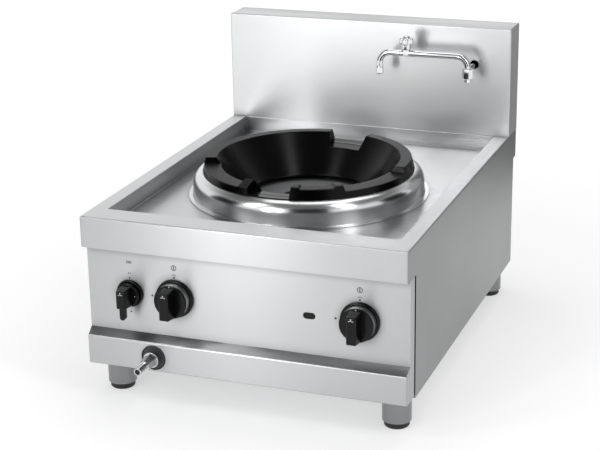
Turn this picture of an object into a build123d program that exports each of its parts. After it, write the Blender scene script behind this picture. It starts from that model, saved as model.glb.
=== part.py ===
from build123d import *

import os

# Wok range for a professional kitchen: one gas burner under a cast wok ring, a drained
# basin, a splashback with a swivel spout, and controls on the front.
# Millimetres. X runs to the right, Y to the back, Z up. The origin is on the floor, in the
# middle of the range's length and width, pipe ends included.

os.makedirs("parts", exist_ok=True)

# ---- Driving sizes -------------------------------------------------------------------

sheet = 1.5
clearance = 0.3

# Cabinet
width = 600
depth = 775
cabinet_height = 225
skirt_depth = 57
splash_height = 220
splash_depth = 68
front_reach = 64
rear_reach = 12
edge_radius = 2.5
bend_radius = 2
half_sheet = sheet / 2
pipe_gap = 2

# Basin
side_rim = 30
front_rim = 53
basin_depth = 32
basin_corner = 3
hem_width = 15
mitre_reach = 1.4

# Front casing
panel_setback = 19
kick_setback = 2
control_height = 157
ledge_drop = 11
casing_inset = 1.5
casing_return = 41
spindle_hole = 7
drain_window = 23.5

# Side, rear and base panels
panel_inset = 0.5
panel_gap = 4
panel_rear_setback = 18
flange_width = 20
leg_flange_width = 66
tray_inset = 22
tray_front_setback = 10
rear_inset = 2
upturn = 12
air_slot_length = 60
air_slot_width = 6
air_slot_pitch = 14
air_slot_columns = 2
air_slot_rows = 6
air_slot_spread = 150
tray_slot_spread = 110
tray_slot_count = 3

# Legs and feet
foot_show = 11
leg_height = 50
leg_radius = 26
leg_inset = 37
front_leg_setback = 60
rear_leg_setback = 60
leg_plate = 3
leg_nut_radius = 10
leg_nut_height = 10
stem_radius = 6
stem_above_base = 18
pad_radius = 22.5
pad_height = 22
pad_edge = 2
pad_shoulder = 5
pad_taper = 8

# Burner opening and collar
burner_setback = 352
opening_radius = 165
upstand_height = 12
collar_flange_radius = 226
collar_base_radius = 218
collar_shoulder_radius = 216
collar_mouth_radius = 180
collar_rise = 45
collar_lip = 8
collar_curve = 21

# Cast wok ring
ring_radius = 199
ring_lean = 6
ring_mouth_radius = 173
ring_seat_radius = 176.5
ring_foot_gap = 44
ring_wall = 9
ring_height = 22.5
ring_foot_drop = 53
ring_step = 5
low_rim_drop = 11
lug_drop = 4
fin_drop = 9.5
notch_drop = 21
notch_slope = 4.5
rim_radius = 2

# Burner well and burner
well_flange_radius = 186
well_radius = 168
well_floor_radius = 160
well_depth = 77
well_hole_radius = 66
well_lip = 10
plate_drop = 15
plate_radius = 150
plate_hole_radius = 58
head_radius = 44
head_height = 40
head_foot_radius = 36
head_foot_height = 12
head_rim_height = 10
head_drop = 4
cap_radius = 32
cap_height = 12
cap_edge = 4
port_radius = 2
ports_per_ring = 14
port_rings = (36.5, 41)
mixer_radius = 15
mixer_mouth_radius = 19
mixer_spread = 20
mixer_bend = 40
mixer_drop = 30
mixer_wall = 2
bell_length = 26
injector_setback = 118
injector_gap = 14
injector_length = 16
injector_radius = 6
injector_hex_radius = 8
bracket_width = 24
bracket_thickness = 3
strap_half = 96
strap_ear = 12
strap_slope = 14

# Controls
control_drop = 84
knob_radius = 30.5
knob_band = 1.2
knob_skirt = 14.5
knob_face = 4
grip_width = 17.5
grip_length = 56
grip_height = 27
grip_draft = 3.5
bezel_radius = 35
bezel_height = 5
bezel_edge = 1.5
bezel_clearance = 0.7
knob_sunk = 1
knob_shell = 2
knob_web = 3
grip_corner = 3
grip_edge = 1
spindle_radius = 4
push_travel = 3
left_knob_inset = 168.8
right_knob_inset = 90
lever_inset = 82.5
lever_bezel_radius = 25
lever_disc_radius = 21.5
lever_disc_height = 11
lever_bar_width = 17
lever_bar_length = 37
lever_bar_height = 26
lever_arm_width = 10
arm_taper = 1
lever_arm_reach = 39
lever_arm_thickness = 9
lever_arm_setback = 5
lever_edge = 2
sight_inset = 181
sight_length = 22.5
sight_height = 12
sight_drop = 85.5
sight_overlap = 10
sight_thickness = 2

# Taps, gas and water pipes
tap_radius = 14
tap_length = 46
tap_setback = 5
plunger_radius = 6
plunger_length = 10
plunger_setback = 2
tap_bore_depth = 22
end_gap = 1
pipe_radius = 10.65
thread_radius = 10.48
thread_length = 20
manifold_drop = 26
manifold_inset = 45
manifold_bend = 30
gas_pipe_radius = 5
gas_pipe_bend = 12
feed_pipe_radius = 7.5
pilot_pipe_radius = 3.5
pilot_hood_height = 2
lead_radius = 2.5
lead_bend = 5
bend_share = 0.9
lead_spread = 16
water_bend = 25
feed_bend = 15
water_rise = 50
valve_length = 40
valve_bore_depth = 18
valve_neck = 4
inlet_bore_radius = 8

# Drain
drain_inset = 130
drain_rise = 29.5
sink_x = -15
sink_gap = 62
sink_hole_radius = 22
sink_flange_radius = 30
sink_wall = 3
sink_gasket_gap = 0.5
strainer_thickness = 1
strainer_holes = 8
strainer_hole_radius = 2.5
drain_pipe_radius = 14
drain_pipe_wall = 2
drain_bend = 30
drain_nut_radius = 22.5
drain_nut_length = 14
tail_radius = 10
tail_collar_radius = 14.5
tail_collar_rear = 8
tail_collar_front = 10.5
tail_hex_radius = 13.5
tail_hex_front = 37
sink_cup_depth = 22
spigot_radius = 7
spigot_length = 15
spigot_barb = 0.5
spigot_bore_radius = 5

# Spout
spout_inset = 74
spout_stand_off = 53
stub_height = 145
stub_radius = 5
swivel_height = 20
swivel_above_stub = 4
swivel_bore_depth = 15
swivel_radius = 10.75
swivel_foot_radius = 6.75
swivel_foot_height = 8
back_nut_radius = 10
back_nut_thickness = 8.5
spout_radius = 6.25
spout_height = 172
spout_reach = 181
spout_bend = 22
nozzle_radius = 7.5
nozzle_height = 16
nozzle_level = 127
nozzle_wall = 2
nozzle_mouth = 3
nozzle_edge = 0.5
stop_reach = 126
stop_boss_radius = 8
stop_nub_radius = 2.2
stop_nub_drop = 11
stop_radius = 10
stop_height = 28
stop_lobe_radius = 6

# ---- Places worked out from the sizes ------------------------------------------------

half_width = width / 2
ring_foot_radius = opening_radius - ring_foot_gap
ring_throat_radius = ring_foot_radius - ring_wall
y_front = -(depth + rear_reach - front_reach) / 2
y_middle = y_front + depth / 2
y_back = y_front + depth
y_splash = y_back - splash_depth
y_panel = y_front + panel_setback
y_kick = y_front + kick_setback

z_base = foot_show + leg_height
z_tray = z_base + 2 * sheet
z_skirt = z_base + cabinet_height
z_top = z_skirt + skirt_depth
z_deck = z_top - basin_depth
z_under_deck = z_deck - sheet

basin_width = width - 2 * side_rim
basin_length = depth - front_rim - splash_depth
y_basin = y_front + front_rim + basin_length / 2
y_burner = y_front + burner_setback

x_side = half_width - panel_inset
y_side_front = y_kick + casing_return + panel_gap
y_side_rear = y_back - panel_rear_setback
side_length = y_side_rear - y_side_front
y_side_middle = (y_side_front + y_side_rear) / 2
z_side_middle = (z_base + z_skirt) / 2

leg_places = [
    (side * (half_width - leg_inset), y)
    for y in (y_front + front_leg_setback, y_back - rear_leg_setback)
    for side in (-1, 1)
]
foot_names = ["front_left", "front_right", "rear_left", "rear_right"]

z_collar_top = z_deck + collar_rise
z_ring_top = z_collar_top + ring_height
z_ring_foot = z_collar_top - ring_foot_drop
z_well = z_deck - well_depth - sheet
z_plate = z_deck - plate_drop

z_control = z_skirt - control_drop
x_knobs = {"left": -half_width + left_knob_inset, "right": half_width - right_knob_inset}
x_lever = -half_width + lever_inset
y_tap = y_panel + tap_setback
y_tap_rear = y_tap + tap_length
y_knob_rear = y_panel - bezel_height + knob_sunk
y_band_front = y_knob_rear - knob_skirt
y_face = y_band_front - knob_face
x_manifold_end = half_width - manifold_inset
z_manifold = z_control - manifold_drop
z_water = z_base + water_rise
y_manifold = y_tap_rear - tap_radius

x_drain = -half_width + drain_inset
z_drain = z_base + drain_rise
y_sink = y_splash - sink_gap

x_spout = half_width - spout_inset
y_spout = y_splash - spout_stand_off
z_stub = z_top + stub_height
z_spout = z_top + spout_height


def facing_front(y):
    """Sketch plane parallel to the front at depth y: x to the right, then z up."""
    return Plane.XZ.offset(-y)


def upright_section(x, y, angle=0):
    """Sketch plane through the vertical line at x, y: radius outwards, then z up."""
    outwards = Vector(1, 0, 0).rotate(Axis.Z, angle)
    return Plane(origin=(x, y, 0), x_dir=outwards, z_dir=outwards.cross(Vector(0, 0, 1)))


def upright_axis(x, y):
    """Vertical axis through x, y."""
    return Axis((x, y, 0), (0, 0, 1))


def level_section(x, y, z):
    """Sketch plane for turned pieces that point forwards: radius, then y."""
    return Plane(origin=(x, y, z), x_dir=(1, 0, 0), z_dir=(0, 0, 1))


def level_axis(x, y, z):
    """Axis that points to the back through a point."""
    return Axis((x, y, z), (0, 1, 0))


def bent_pipe(points, bend, outer):
    """Round bar or pipe along straight runs that are joined by bends of one radius."""
    with BuildPart() as pipe:
        with BuildLine() as route:
            FilletPolyline(*points, radius=bend)
        with BuildSketch(Plane(origin=route.line @ 0, z_dir=route.line % 0)):
            Circle(outer)
        sweep()
    return pipe.part


# ---- Worktop: four folded rims with mitred, welded corners round the basin ------------

with BuildPart() as rim_frame:
    with BuildSketch(Plane.XY.offset(z_skirt)):
        with Locations((0, y_middle)):
            Rectangle(width, depth)
    extrude(amount=skirt_depth)
    fillet(rim_frame.edges().filter_by(Axis.Z), edge_radius)
    fillet(rim_frame.faces().sort_by(Axis.Z)[-1].edges(), edge_radius)
    with BuildSketch(Plane.XY.offset(z_skirt)):
        with Locations((0, y_basin)):
            RectangleRounded(basin_width, basin_length, basin_corner)
    extrude(amount=skirt_depth, mode=Mode.SUBTRACT)
    # Only the skirt reaches below the basin floor
    with BuildSketch(Plane.XY.offset(z_skirt)):
        with Locations((0, y_middle)):
            Rectangle(width - 2 * sheet, depth - 2 * sheet)
    extrude(amount=z_deck - z_skirt, mode=Mode.SUBTRACT)
    # Hollow between the skirt and the basin walls
    with BuildSketch(Plane.XY.offset(z_deck)):
        with Locations((0, y_middle)):
            Rectangle(width - 2 * sheet, depth - 2 * sheet)
        with Locations((0, y_basin)):
            Rectangle(basin_width + 2 * sheet, basin_length + 2 * sheet, mode=Mode.SUBTRACT)
    extrude(amount=basin_depth - sheet, mode=Mode.SUBTRACT)
    # Hem folded inwards along the bottom of the skirt
    with BuildSketch(Plane.XY.offset(z_skirt)):
        with Locations((0, y_middle)):
            Rectangle(width - 2 * sheet, depth - 2 * sheet)
            Rectangle(
                width - 2 * sheet - 2 * hem_width,
                depth - 2 * sheet - 2 * hem_width,
                mode=Mode.SUBTRACT,
            )
    extrude(amount=sheet)
    # Hole for the feed pipe that climbs into the splashback
    with BuildSketch(Plane.XY.offset(z_top)):
        with Locations((x_spout, y_back - splash_depth / 2)):
            Circle(feed_pipe_radius + pipe_gap)
    extrude(amount=-2 * sheet, mode=Mode.SUBTRACT)

# Outline of each rim from above, from the front one round to the left one
outer_corners = [
    Vector(-half_width, y_front),
    Vector(half_width, y_front),
    Vector(half_width, y_back),
    Vector(-half_width, y_back),
]
basin_corners = [
    Vector(-basin_width / 2, y_front + front_rim),
    Vector(basin_width / 2, y_front + front_rim),
    Vector(basin_width / 2, y_splash),
    Vector(-basin_width / 2, y_splash),
]

rims = []
for index in range(4):
    following = (index + 1) % 4
    start_mitre = basin_corners[index] - outer_corners[index]
    end_mitre = basin_corners[following] - outer_corners[following]
    with BuildPart() as rim:
        add(rim_frame.part)
        with BuildSketch(Plane.XY.offset(z_skirt)):
            with BuildLine():
                Polyline(
                    outer_corners[index],
                    outer_corners[following],
                    outer_corners[following] + end_mitre * mitre_reach,
                    outer_corners[index] + start_mitre * mitre_reach,
                    close=True,
                )
            make_face()
        extrude(amount=skirt_depth, mode=Mode.INTERSECT)
    rims.append(rim.part)

worktop_rims = Compound(label="worktop_rims", children=rims)
export_step(worktop_rims, "parts/worktop_rims.step")

with BuildPart() as basin_floor:
    with BuildSketch(Plane.XY.offset(z_under_deck)):
        with Locations((0, y_basin)):
            Rectangle(basin_width + 2 * sheet, basin_length + 2 * sheet)
        with Locations((0, y_burner)):
            Circle(opening_radius, mode=Mode.SUBTRACT)
        with Locations((sink_x, y_sink)):
            Circle(sink_hole_radius, mode=Mode.SUBTRACT)
    extrude(amount=sheet)

basin_floor.part.label = "basin_floor"
export_step(basin_floor.part, "parts/basin_floor.step")

# Rolled ring round the burner opening that keeps water out
with BuildPart() as basin_upstand:
    with BuildSketch(Plane.XY.offset(z_deck)):
        with Locations((0, y_burner)):
            Circle(opening_radius + sheet)
            Circle(opening_radius, mode=Mode.SUBTRACT)
    extrude(amount=upstand_height)

basin_upstand.part.label = "basin_upstand"
export_step(basin_upstand.part, "parts/basin_upstand.step")


# ---- Splashback and its back plate ---------------------------------------------------

with BuildPart() as splashback:
    with BuildSketch(Plane.XY.offset(z_top)):
        with Locations((0, y_back - splash_depth / 2)):
            Rectangle(width, splash_depth)
    extrude(amount=splash_height)
    fillet(splashback.edges().filter_by(Axis.Z).group_by(Axis.Y)[0], edge_radius)
    top_edges = splashback.faces().sort_by(Axis.Z)[-1].edges()
    fillet(top_edges.sort_by(Axis.Y)[:-1], edge_radius)
    with BuildSketch(Plane.XY.offset(z_top)):
        with Locations((0, y_back - (splash_depth - sheet) / 2)):
            Rectangle(width - 2 * sheet, splash_depth - sheet)
    extrude(amount=splash_height - sheet, mode=Mode.SUBTRACT)
    with BuildSketch(facing_front(y_splash)):
        with Locations((x_spout, z_stub)):
            Circle(stub_radius + clearance)
    extrude(amount=-2 * sheet, mode=Mode.SUBTRACT)

splashback.part.label = "splashback"
export_step(splashback.part, "parts/splashback.step")

with BuildPart() as splashback_back_plate:
    with BuildSketch(facing_front(y_back)):
        with Locations((0, z_top + (splash_height - sheet) / 2)):
            Rectangle(width - 2 * sheet, splash_height - sheet)
    extrude(amount=sheet)

splashback_back_plate.part.label = "splashback_back_plate"
export_step(splashback_back_plate.part, "parts/splashback_back_plate.step")


# ---- Front casing: control panel, sloped ledge and lower panel in one sheet ----------

with BuildPart() as front_casing:
    with BuildSketch(Plane.YZ):
        with BuildLine():
            Polyline(
                (y_panel, z_skirt),
                (y_panel, z_skirt - control_height),
                (y_kick, z_skirt - control_height - ledge_drop),
                (y_kick, z_tray),
                (y_kick + casing_return, z_tray),
                (y_kick + casing_return, z_skirt),
                close=True,
            )
        make_face()
    extrude(amount=half_width - casing_inset, both=True)
    ledge_edges = front_casing.edges().filter_by(Axis.X).filter_by_position(
        Axis.Z, z_tray + sheet, z_skirt - sheet
    )
    fillet(ledge_edges, bend_radius)
    back_face = front_casing.faces().sort_by(Axis.Y)[-1]
    offset(amount=-sheet, openings=back_face)
    # Openings in the control panel
    with BuildSketch(facing_front(y_panel)):
        with Locations(*[(x, z_control) for x in (x_lever, *x_knobs.values())]):
            Circle(spindle_hole)
        with Locations((half_width - sight_inset, z_skirt - sight_drop)):
            SlotOverall(sight_length, sight_height)
    extrude(amount=-2 * sheet, mode=Mode.SUBTRACT)
    # Window for the drain outlet
    with BuildSketch(facing_front(y_kick)):
        with Locations((x_drain, z_drain)):
            Circle(drain_window)
    extrude(amount=-2 * sheet, mode=Mode.SUBTRACT)

front_casing.part.label = "front_casing"
export_step(front_casing.part, "parts/front_casing.step")


# ---- Side panels with folded flanges -------------------------------------------------

for side, name in ((-1, "side_panel_left"), (1, "side_panel_right")):
    with BuildPart() as side_panel:
        outer_face = Plane.YZ.offset(side * x_side)
        with BuildSketch(outer_face):
            with Locations((y_side_middle, z_side_middle)):
                Rectangle(side_length, cabinet_height)
        extrude(amount=-side * sheet)
        with BuildSketch(outer_face):
            with Locations((y_side_middle, z_side_middle)):
                Rectangle(side_length, cabinet_height)
                Rectangle(side_length - 2 * sheet, cabinet_height - 2 * sheet, mode=Mode.SUBTRACT)
        extrude(amount=-side * flange_width)
        # The bottom flange is wide enough to carry the legs
        with BuildSketch(outer_face):
            with Locations((y_side_middle, z_base + sheet / 2)):
                Rectangle(side_length, sheet)
        extrude(amount=-side * leg_flange_width)
        with BuildSketch(Plane.XY.offset(z_base)):
            with Locations(*[place for place in leg_places if place[0] * side > 0]):
                Circle(stem_radius + clearance)
        extrude(amount=sheet, mode=Mode.SUBTRACT)
    side_panel.part.label = name
    export_step(side_panel.part, f"parts/{name}.step")


# ---- Rear panel: air slots and pipe holes --------------------------------------------

with BuildPart() as rear_panel:
    with BuildSketch(facing_front(y_side_rear + sheet)):
        with Locations((0, z_side_middle)):
            Rectangle(width - 2 * rear_inset, cabinet_height)
        with Locations((0, z_side_middle + air_slot_pitch)):
            with GridLocations(air_slot_spread, air_slot_pitch, air_slot_columns, air_slot_rows):
                SlotOverall(air_slot_length, air_slot_width, mode=Mode.SUBTRACT)
        with Locations((x_manifold_end, z_manifold), (x_lever, z_water)):
            Circle(pipe_radius + pipe_gap, mode=Mode.SUBTRACT)
    extrude(amount=sheet)

rear_panel.part.label = "rear_panel"
export_step(rear_panel.part, "parts/rear_panel.step")


# ---- Base tray -----------------------------------------------------------------------

y_tray_front = y_front + tray_front_setback
tray_length = y_side_rear - y_tray_front

with BuildPart() as base_tray:
    with BuildSketch(Plane.XY.offset(z_tray - sheet)):
        with Locations((0, y_tray_front + tray_length / 2)):
            Rectangle(width - 2 * tray_inset, tray_length)
            with GridLocations(tray_slot_spread, air_slot_spread, tray_slot_count, tray_slot_count):
                SlotOverall(air_slot_length, air_slot_width, mode=Mode.SUBTRACT)
        with Locations(*leg_places):
            Circle(stem_radius + clearance, mode=Mode.SUBTRACT)
    extrude(amount=sheet)
    with BuildSketch(Plane.XY.offset(z_tray)):
        with Locations((0, y_side_rear - sheet / 2)):
            Rectangle(width - 2 * tray_inset, sheet)
    extrude(amount=upturn)

base_tray.part.label = "base_tray"
export_step(base_tray.part, "parts/base_tray.step")


# ---- Leg tubes, each with a top plate and a nut for the levelling foot ---------------

with BuildPart() as leg_tubes:
    with BuildSketch(Plane.XY.offset(z_base - leg_height)):
        with Locations(*leg_places):
            Circle(leg_radius)
            Circle(leg_radius - sheet, mode=Mode.SUBTRACT)
    extrude(amount=leg_height)
    with BuildSketch(Plane.XY.offset(z_base - leg_plate)):
        with Locations(*leg_places):
            Circle(leg_radius)
    extrude(amount=leg_plate)
    with BuildSketch(Plane.XY.offset(z_base - leg_plate - leg_nut_height)):
        with Locations(*leg_places):
            Circle(leg_nut_radius)
    extrude(amount=leg_nut_height)
    with BuildSketch(Plane.XY.offset(z_base - leg_height)):
        with Locations(*leg_places):
            Circle(stem_radius)
    extrude(amount=leg_height, mode=Mode.SUBTRACT)
    bottom_rims = leg_tubes.edges().filter_by(GeomType.CIRCLE).group_by(Axis.Z)[0]
    chamfer(bottom_rims.filter_by(lambda edge: edge.radius > leg_radius - sheet / 2), sheet / 2)

leg_tubes.part.label = "leg_tubes"
export_step(leg_tubes.part, "parts/leg_tubes.step")

for foot_name, (foot_x, foot_y) in zip(foot_names, leg_places):
    with BuildPart() as foot:
        with BuildSketch(upright_section(foot_x, foot_y)):
            with BuildLine():
                Polyline(
                    (0, 0),
                    (pad_radius - pad_edge, 0),
                    (pad_radius, pad_edge),
                    (pad_radius, pad_height - pad_shoulder),
                    (pad_radius - pad_taper, pad_height),
                    (stem_radius - clearance, pad_height),
                    (stem_radius - clearance, z_base + stem_above_base),
                    (0, z_base + stem_above_base),
                    close=True,
                )
            make_face()
        revolve(axis=upright_axis(foot_x, foot_y))
    foot.part.label = f"foot_{foot_name}"
    export_step(foot.part, f"parts/foot_{foot_name}.step")


# ---- Burner collar: spun steel dome that stands in the basin -------------------------

with BuildPart() as burner_collar:
    with BuildSketch(upright_section(0, y_burner)):
        with BuildLine():
            FilletPolyline(
                (collar_flange_radius, z_deck + half_sheet),
                (collar_base_radius - half_sheet, z_deck + half_sheet),
                (collar_shoulder_radius - half_sheet, z_collar_top - half_sheet),
                (collar_mouth_radius + half_sheet, z_collar_top - half_sheet),
                (collar_mouth_radius + half_sheet, z_collar_top - collar_lip),
                radius=[bend_radius, collar_curve, 2 * bend_radius],
            )
        trace(line_width=sheet)
    revolve(axis=upright_axis(0, y_burner))

burner_collar.part.label = "burner_collar"
export_step(burner_collar.part, "parts/burner_collar.step")


# ---- Cast wok ring: bowl with raised, low and notched rim ----------------------------

cut_inner = ring_throat_radius + 20
cut_outer = ring_radius + 5
cut_top = z_ring_top + 10
z_low_rim = z_ring_top - low_rim_drop
z_lug = z_ring_top - lug_drop
z_fin = z_ring_top - fin_drop
z_notch = z_ring_top - notch_drop

# Sectors cut from the rim: start and end angle from the right-hand side, seen from above,
# then the height left at the outer wall and at the bowl.
rim_cuts = [
    (70, 95, z_notch, z_notch - notch_slope),
    (200, 249, z_low_rim, z_low_rim),
    (249, 256, z_fin, z_ring_top),
    (256, 280, z_notch, z_notch - notch_slope),
    (285, 304, z_lug, z_lug),
    (309, 355, z_low_rim, z_low_rim),
]

with BuildPart() as wok_ring:
    with BuildSketch(upright_section(0, y_burner)):
        with BuildLine():
            Polyline(
                (ring_throat_radius, z_ring_foot),
                (ring_foot_radius, z_ring_foot),
                (ring_seat_radius, z_collar_top - ring_step),
                (ring_seat_radius, z_collar_top),
                (ring_radius, z_collar_top),
                (ring_radius - ring_lean, z_ring_top),
                (ring_mouth_radius, z_ring_top),
                close=True,
            )
        make_face()
    revolve(axis=upright_axis(0, y_burner))
    rim_edges = wok_ring.edges().filter_by(GeomType.CIRCLE).group_by(Axis.Z)[-1]
    fillet(rim_edges, rim_radius)
    for start, end, z_outer, z_inner in rim_cuts:
        with BuildSketch(upright_section(0, y_burner, start)):
            with BuildLine():
                Polyline(
                    (cut_inner, z_inner),
                    (ring_mouth_radius, z_inner),
                    (ring_radius, z_outer),
                    (cut_outer, z_outer),
                    (cut_outer, cut_top),
                    (cut_inner, cut_top),
                    close=True,
                )
            make_face()
        revolve(axis=upright_axis(0, y_burner), revolution_arc=end - start, mode=Mode.SUBTRACT)

wok_ring.part.label = "wok_ring"
export_step(wok_ring.part, "parts/wok_ring.step")


# ---- Burner well, plate, head, cap and bracket ---------------------------------------

with BuildPart() as burner_well:
    with BuildSketch(upright_section(0, y_burner)):
        with BuildLine():
            FilletPolyline(
                (well_flange_radius, z_under_deck - half_sheet),
                (well_radius + half_sheet, z_under_deck - half_sheet),
                (well_floor_radius, z_well + half_sheet),
                (well_hole_radius + half_sheet, z_well + half_sheet),
                (well_hole_radius + half_sheet, z_well + well_lip),
                radius=bend_radius,
            )
        trace(line_width=sheet)
    revolve(axis=upright_axis(0, y_burner))

burner_well.part.label = "burner_well"
export_step(burner_well.part, "parts/burner_well.step")

with BuildPart() as burner_plate:
    with BuildSketch(upright_section(0, y_burner)):
        with BuildLine():
            FilletPolyline(
                (plate_hole_radius, z_plate - half_sheet),
                (plate_radius, z_plate - half_sheet),
                (plate_radius, z_well + sheet),
                radius=2 * bend_radius,
            )
        trace(line_width=sheet)
    revolve(axis=upright_axis(0, y_burner))

burner_plate.part.label = "burner_plate"
export_step(burner_plate.part, "parts/burner_plate.step")

z_head_top = z_plate - head_drop
z_head = z_head_top - head_height

with BuildPart() as burner_head:
    with BuildSketch(upright_section(0, y_burner)):
        with BuildLine():
            Polyline(
                (0, z_head),
                (head_foot_radius, z_head),
                (head_radius, z_head + head_foot_height),
                (head_radius, z_head_top - head_rim_height),
                (cap_radius + half_sheet, z_head_top),
                (0, z_head_top),
                close=True,
            )
        make_face()
    revolve(axis=upright_axis(0, y_burner))
    # Two rings of flame ports in the sloped rim
    for port_ring in port_rings:
        with BuildSketch(Plane.XY.offset(z_head_top)):
            with Locations((0, y_burner)):
                with PolarLocations(port_ring, ports_per_ring):
                    Circle(port_radius)
        extrude(amount=-head_height / 2, mode=Mode.SUBTRACT)

burner_head.part.label = "burner_head"
export_step(burner_head.part, "parts/burner_head.step")

cap_rise = cap_height - cap_edge
cap_dome_radius = (cap_radius**2 + cap_rise**2) / (2 * cap_rise)

with BuildPart() as burner_cap:
    with BuildSketch(upright_section(0, y_burner)):
        with BuildLine():
            Polyline(
                (0, z_head_top + cap_height),
                (0, z_head_top),
                (cap_radius, z_head_top),
                (cap_radius, z_head_top + cap_edge),
            )
            RadiusArc(
                (cap_radius, z_head_top + cap_edge),
                (0, z_head_top + cap_height),
                -cap_dome_radius,
            )
        make_face()
    revolve(axis=upright_axis(0, y_burner))

burner_cap.part.label = "burner_cap"
export_step(burner_cap.part, "parts/burner_cap.step")

y_injector = y_front + injector_setback
y_mixer_mouth = y_injector + injector_gap
z_mixer = z_well - mixer_drop

x_mixers = (-mixer_spread, mixer_spread)

mixer_bars = []
for x_mixer in x_mixers:
    mixer_route = [
        (x_mixer, y_mixer_mouth, z_mixer),
        (x_mixer, y_burner, z_mixer),
        (x_mixer, y_burner, z_head),
    ]
    mixer_bars.append(bent_pipe(mixer_route, mixer_bend, mixer_radius))

with BuildPart() as mixing_tubes:
    add(mixer_bars)
    # Bell mouths, open towards the injectors
    for x_mixer in x_mixers:
        with BuildSketch(level_section(x_mixer, y_mixer_mouth, z_mixer)):
            with BuildLine():
                Polyline(
                    (0, 0),
                    (mixer_mouth_radius, 0),
                    (mixer_mouth_radius, bell_length / 3),
                    (mixer_radius, bell_length),
                    (0, bell_length),
                    close=True,
                )
            make_face()
        revolve(axis=level_axis(x_mixer, y_mixer_mouth, z_mixer))
        with BuildSketch(level_section(x_mixer, y_mixer_mouth, z_mixer)):
            with BuildLine():
                Polyline(
                    (0, 0),
                    (mixer_mouth_radius - mixer_wall, 0),
                    (mixer_radius - mixer_wall, bell_length),
                    (mixer_radius - mixer_wall, 2 * bell_length),
                    (0, 2 * bell_length),
                    close=True,
                )
            make_face()
        revolve(axis=level_axis(x_mixer, y_mixer_mouth, z_mixer), mode=Mode.SUBTRACT)

mixing_tubes.part.label = "mixing_tubes"
export_step(mixing_tubes.part, "parts/mixing_tubes.step")

with BuildPart() as injectors:
    for x_mixer in x_mixers:
        with BuildSketch(facing_front(y_injector)):
            with Locations((x_mixer, z_mixer)):
                RegularPolygon(injector_hex_radius, 6)
        extrude(amount=-injector_length / 2)
        with BuildSketch(level_section(x_mixer, y_injector, z_mixer)):
            with BuildLine():
                Polyline(
                    (0, injector_length / 2),
                    (injector_radius, injector_length / 2),
                    (injector_radius / 2, injector_length),
                    (0, injector_length),
                    close=True,
                )
            make_face()
        revolve(axis=level_axis(x_mixer, y_injector, z_mixer))

injectors.part.label = "injectors"
export_step(injectors.part, "parts/injectors.step")

z_strap_top = z_well - bracket_thickness / 2
z_strap_bottom = z_mixer - mixer_radius - bracket_thickness / 2

with BuildPart() as burner_bracket:
    # Cross strap that carries both mixing tubes, hung from the well
    with BuildSketch(facing_front(y_burner - head_radius)):
        with BuildLine():
            Polyline(
                (-strap_half - strap_ear, z_strap_top),
                (-strap_half, z_strap_top),
                (-strap_half + strap_slope, z_strap_bottom),
                (strap_half - strap_slope, z_strap_bottom),
                (strap_half, z_strap_top),
                (strap_half + strap_ear, z_strap_top),
            )
        trace(line_width=bracket_thickness)
    extrude(amount=-bracket_width)

burner_bracket.part.label = "burner_bracket"
export_step(burner_bracket.part, "parts/burner_bracket.step")


# ---- Gas taps with plungers, spindles and pipes --------------------------------------

for name, x in x_knobs.items():
    with BuildPart() as gas_tap:
        with BuildSketch(facing_front(y_tap)):
            with Locations((x, z_control)):
                Circle(tap_radius)
        extrude(amount=-tap_length)
        # Saddle that bolts to the manifold
        with BuildSketch(Plane.XY.offset(z_manifold + pipe_radius)):
            with Locations((x, y_manifold)):
                Rectangle(2 * tap_radius, 1.5 * tap_radius)
        extrude(amount=manifold_drop - pipe_radius)
        with BuildSketch(facing_front(y_tap)):
            with Locations((x, z_control)):
                Circle(plunger_radius + clearance)
        extrude(amount=-tap_bore_depth, mode=Mode.SUBTRACT)
    gas_tap.part.label = f"gas_tap_{name}"
    export_step(gas_tap.part, f"parts/gas_tap_{name}.step")

    with BuildPart() as tap_plunger:
        with BuildSketch(facing_front(y_tap + plunger_setback)):
            with Locations((x, z_control)):
                Circle(plunger_radius)
                Circle(spindle_radius + clearance, mode=Mode.SUBTRACT)
        extrude(amount=-plunger_length)
    tap_plunger.part.label = f"tap_plunger_{name}"
    export_step(tap_plunger.part, f"parts/tap_plunger_{name}.step")

    with BuildPart() as tap_spindle:
        with BuildSketch(facing_front(y_band_front)):
            with Locations((x, z_control)):
                Circle(spindle_radius)
        extrude(amount=-(y_tap + tap_bore_depth - push_travel - end_gap - y_band_front))
    tap_spindle.part.label = f"tap_spindle_{name}"
    export_step(tap_spindle.part, f"parts/tap_spindle_{name}.step")

manifold_route = [
    (x_knobs["left"] - 30, y_manifold, z_manifold),
    (x_manifold_end, y_manifold, z_manifold),
    (x_manifold_end, y_back + rear_reach, z_manifold),
]
manifold_bar = bent_pipe(manifold_route, manifold_bend, pipe_radius)
with BuildPart() as gas_manifold:
    add(manifold_bar)
    # Threaded end with its bore
    with BuildSketch(facing_front(y_back + rear_reach)):
        with Locations((x_manifold_end, z_manifold)):
            Circle(pipe_radius + 1)
            Circle(thread_radius, mode=Mode.SUBTRACT)
            Circle(inlet_bore_radius)
    extrude(amount=thread_length, mode=Mode.SUBTRACT)

gas_manifold.part.label = "gas_manifold"
export_step(gas_manifold.part, "parts/gas_manifold.step")

y_gas_pipe = (y_tap_rear + y_injector) / 2
for (name, x), side in zip(x_knobs.items(), (-1, 1)):
    x_mixer = side * mixer_spread
    injector_route = [
        (x, y_tap_rear, z_control),
        (x, y_gas_pipe, z_control),
        (x_mixer, y_gas_pipe, z_mixer),
        (x_mixer, y_injector, z_mixer),
    ]
    injector_bar = bent_pipe(injector_route, gas_pipe_bend, gas_pipe_radius)
    with BuildPart() as injector_pipe:
        add(injector_bar)
    injector_pipe.part.label = f"injector_pipe_{name}"
    export_step(injector_pipe.part, f"parts/injector_pipe_{name}.step")


# ---- Pilot burner on the left, thermocouple on the right -----------------------------

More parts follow.
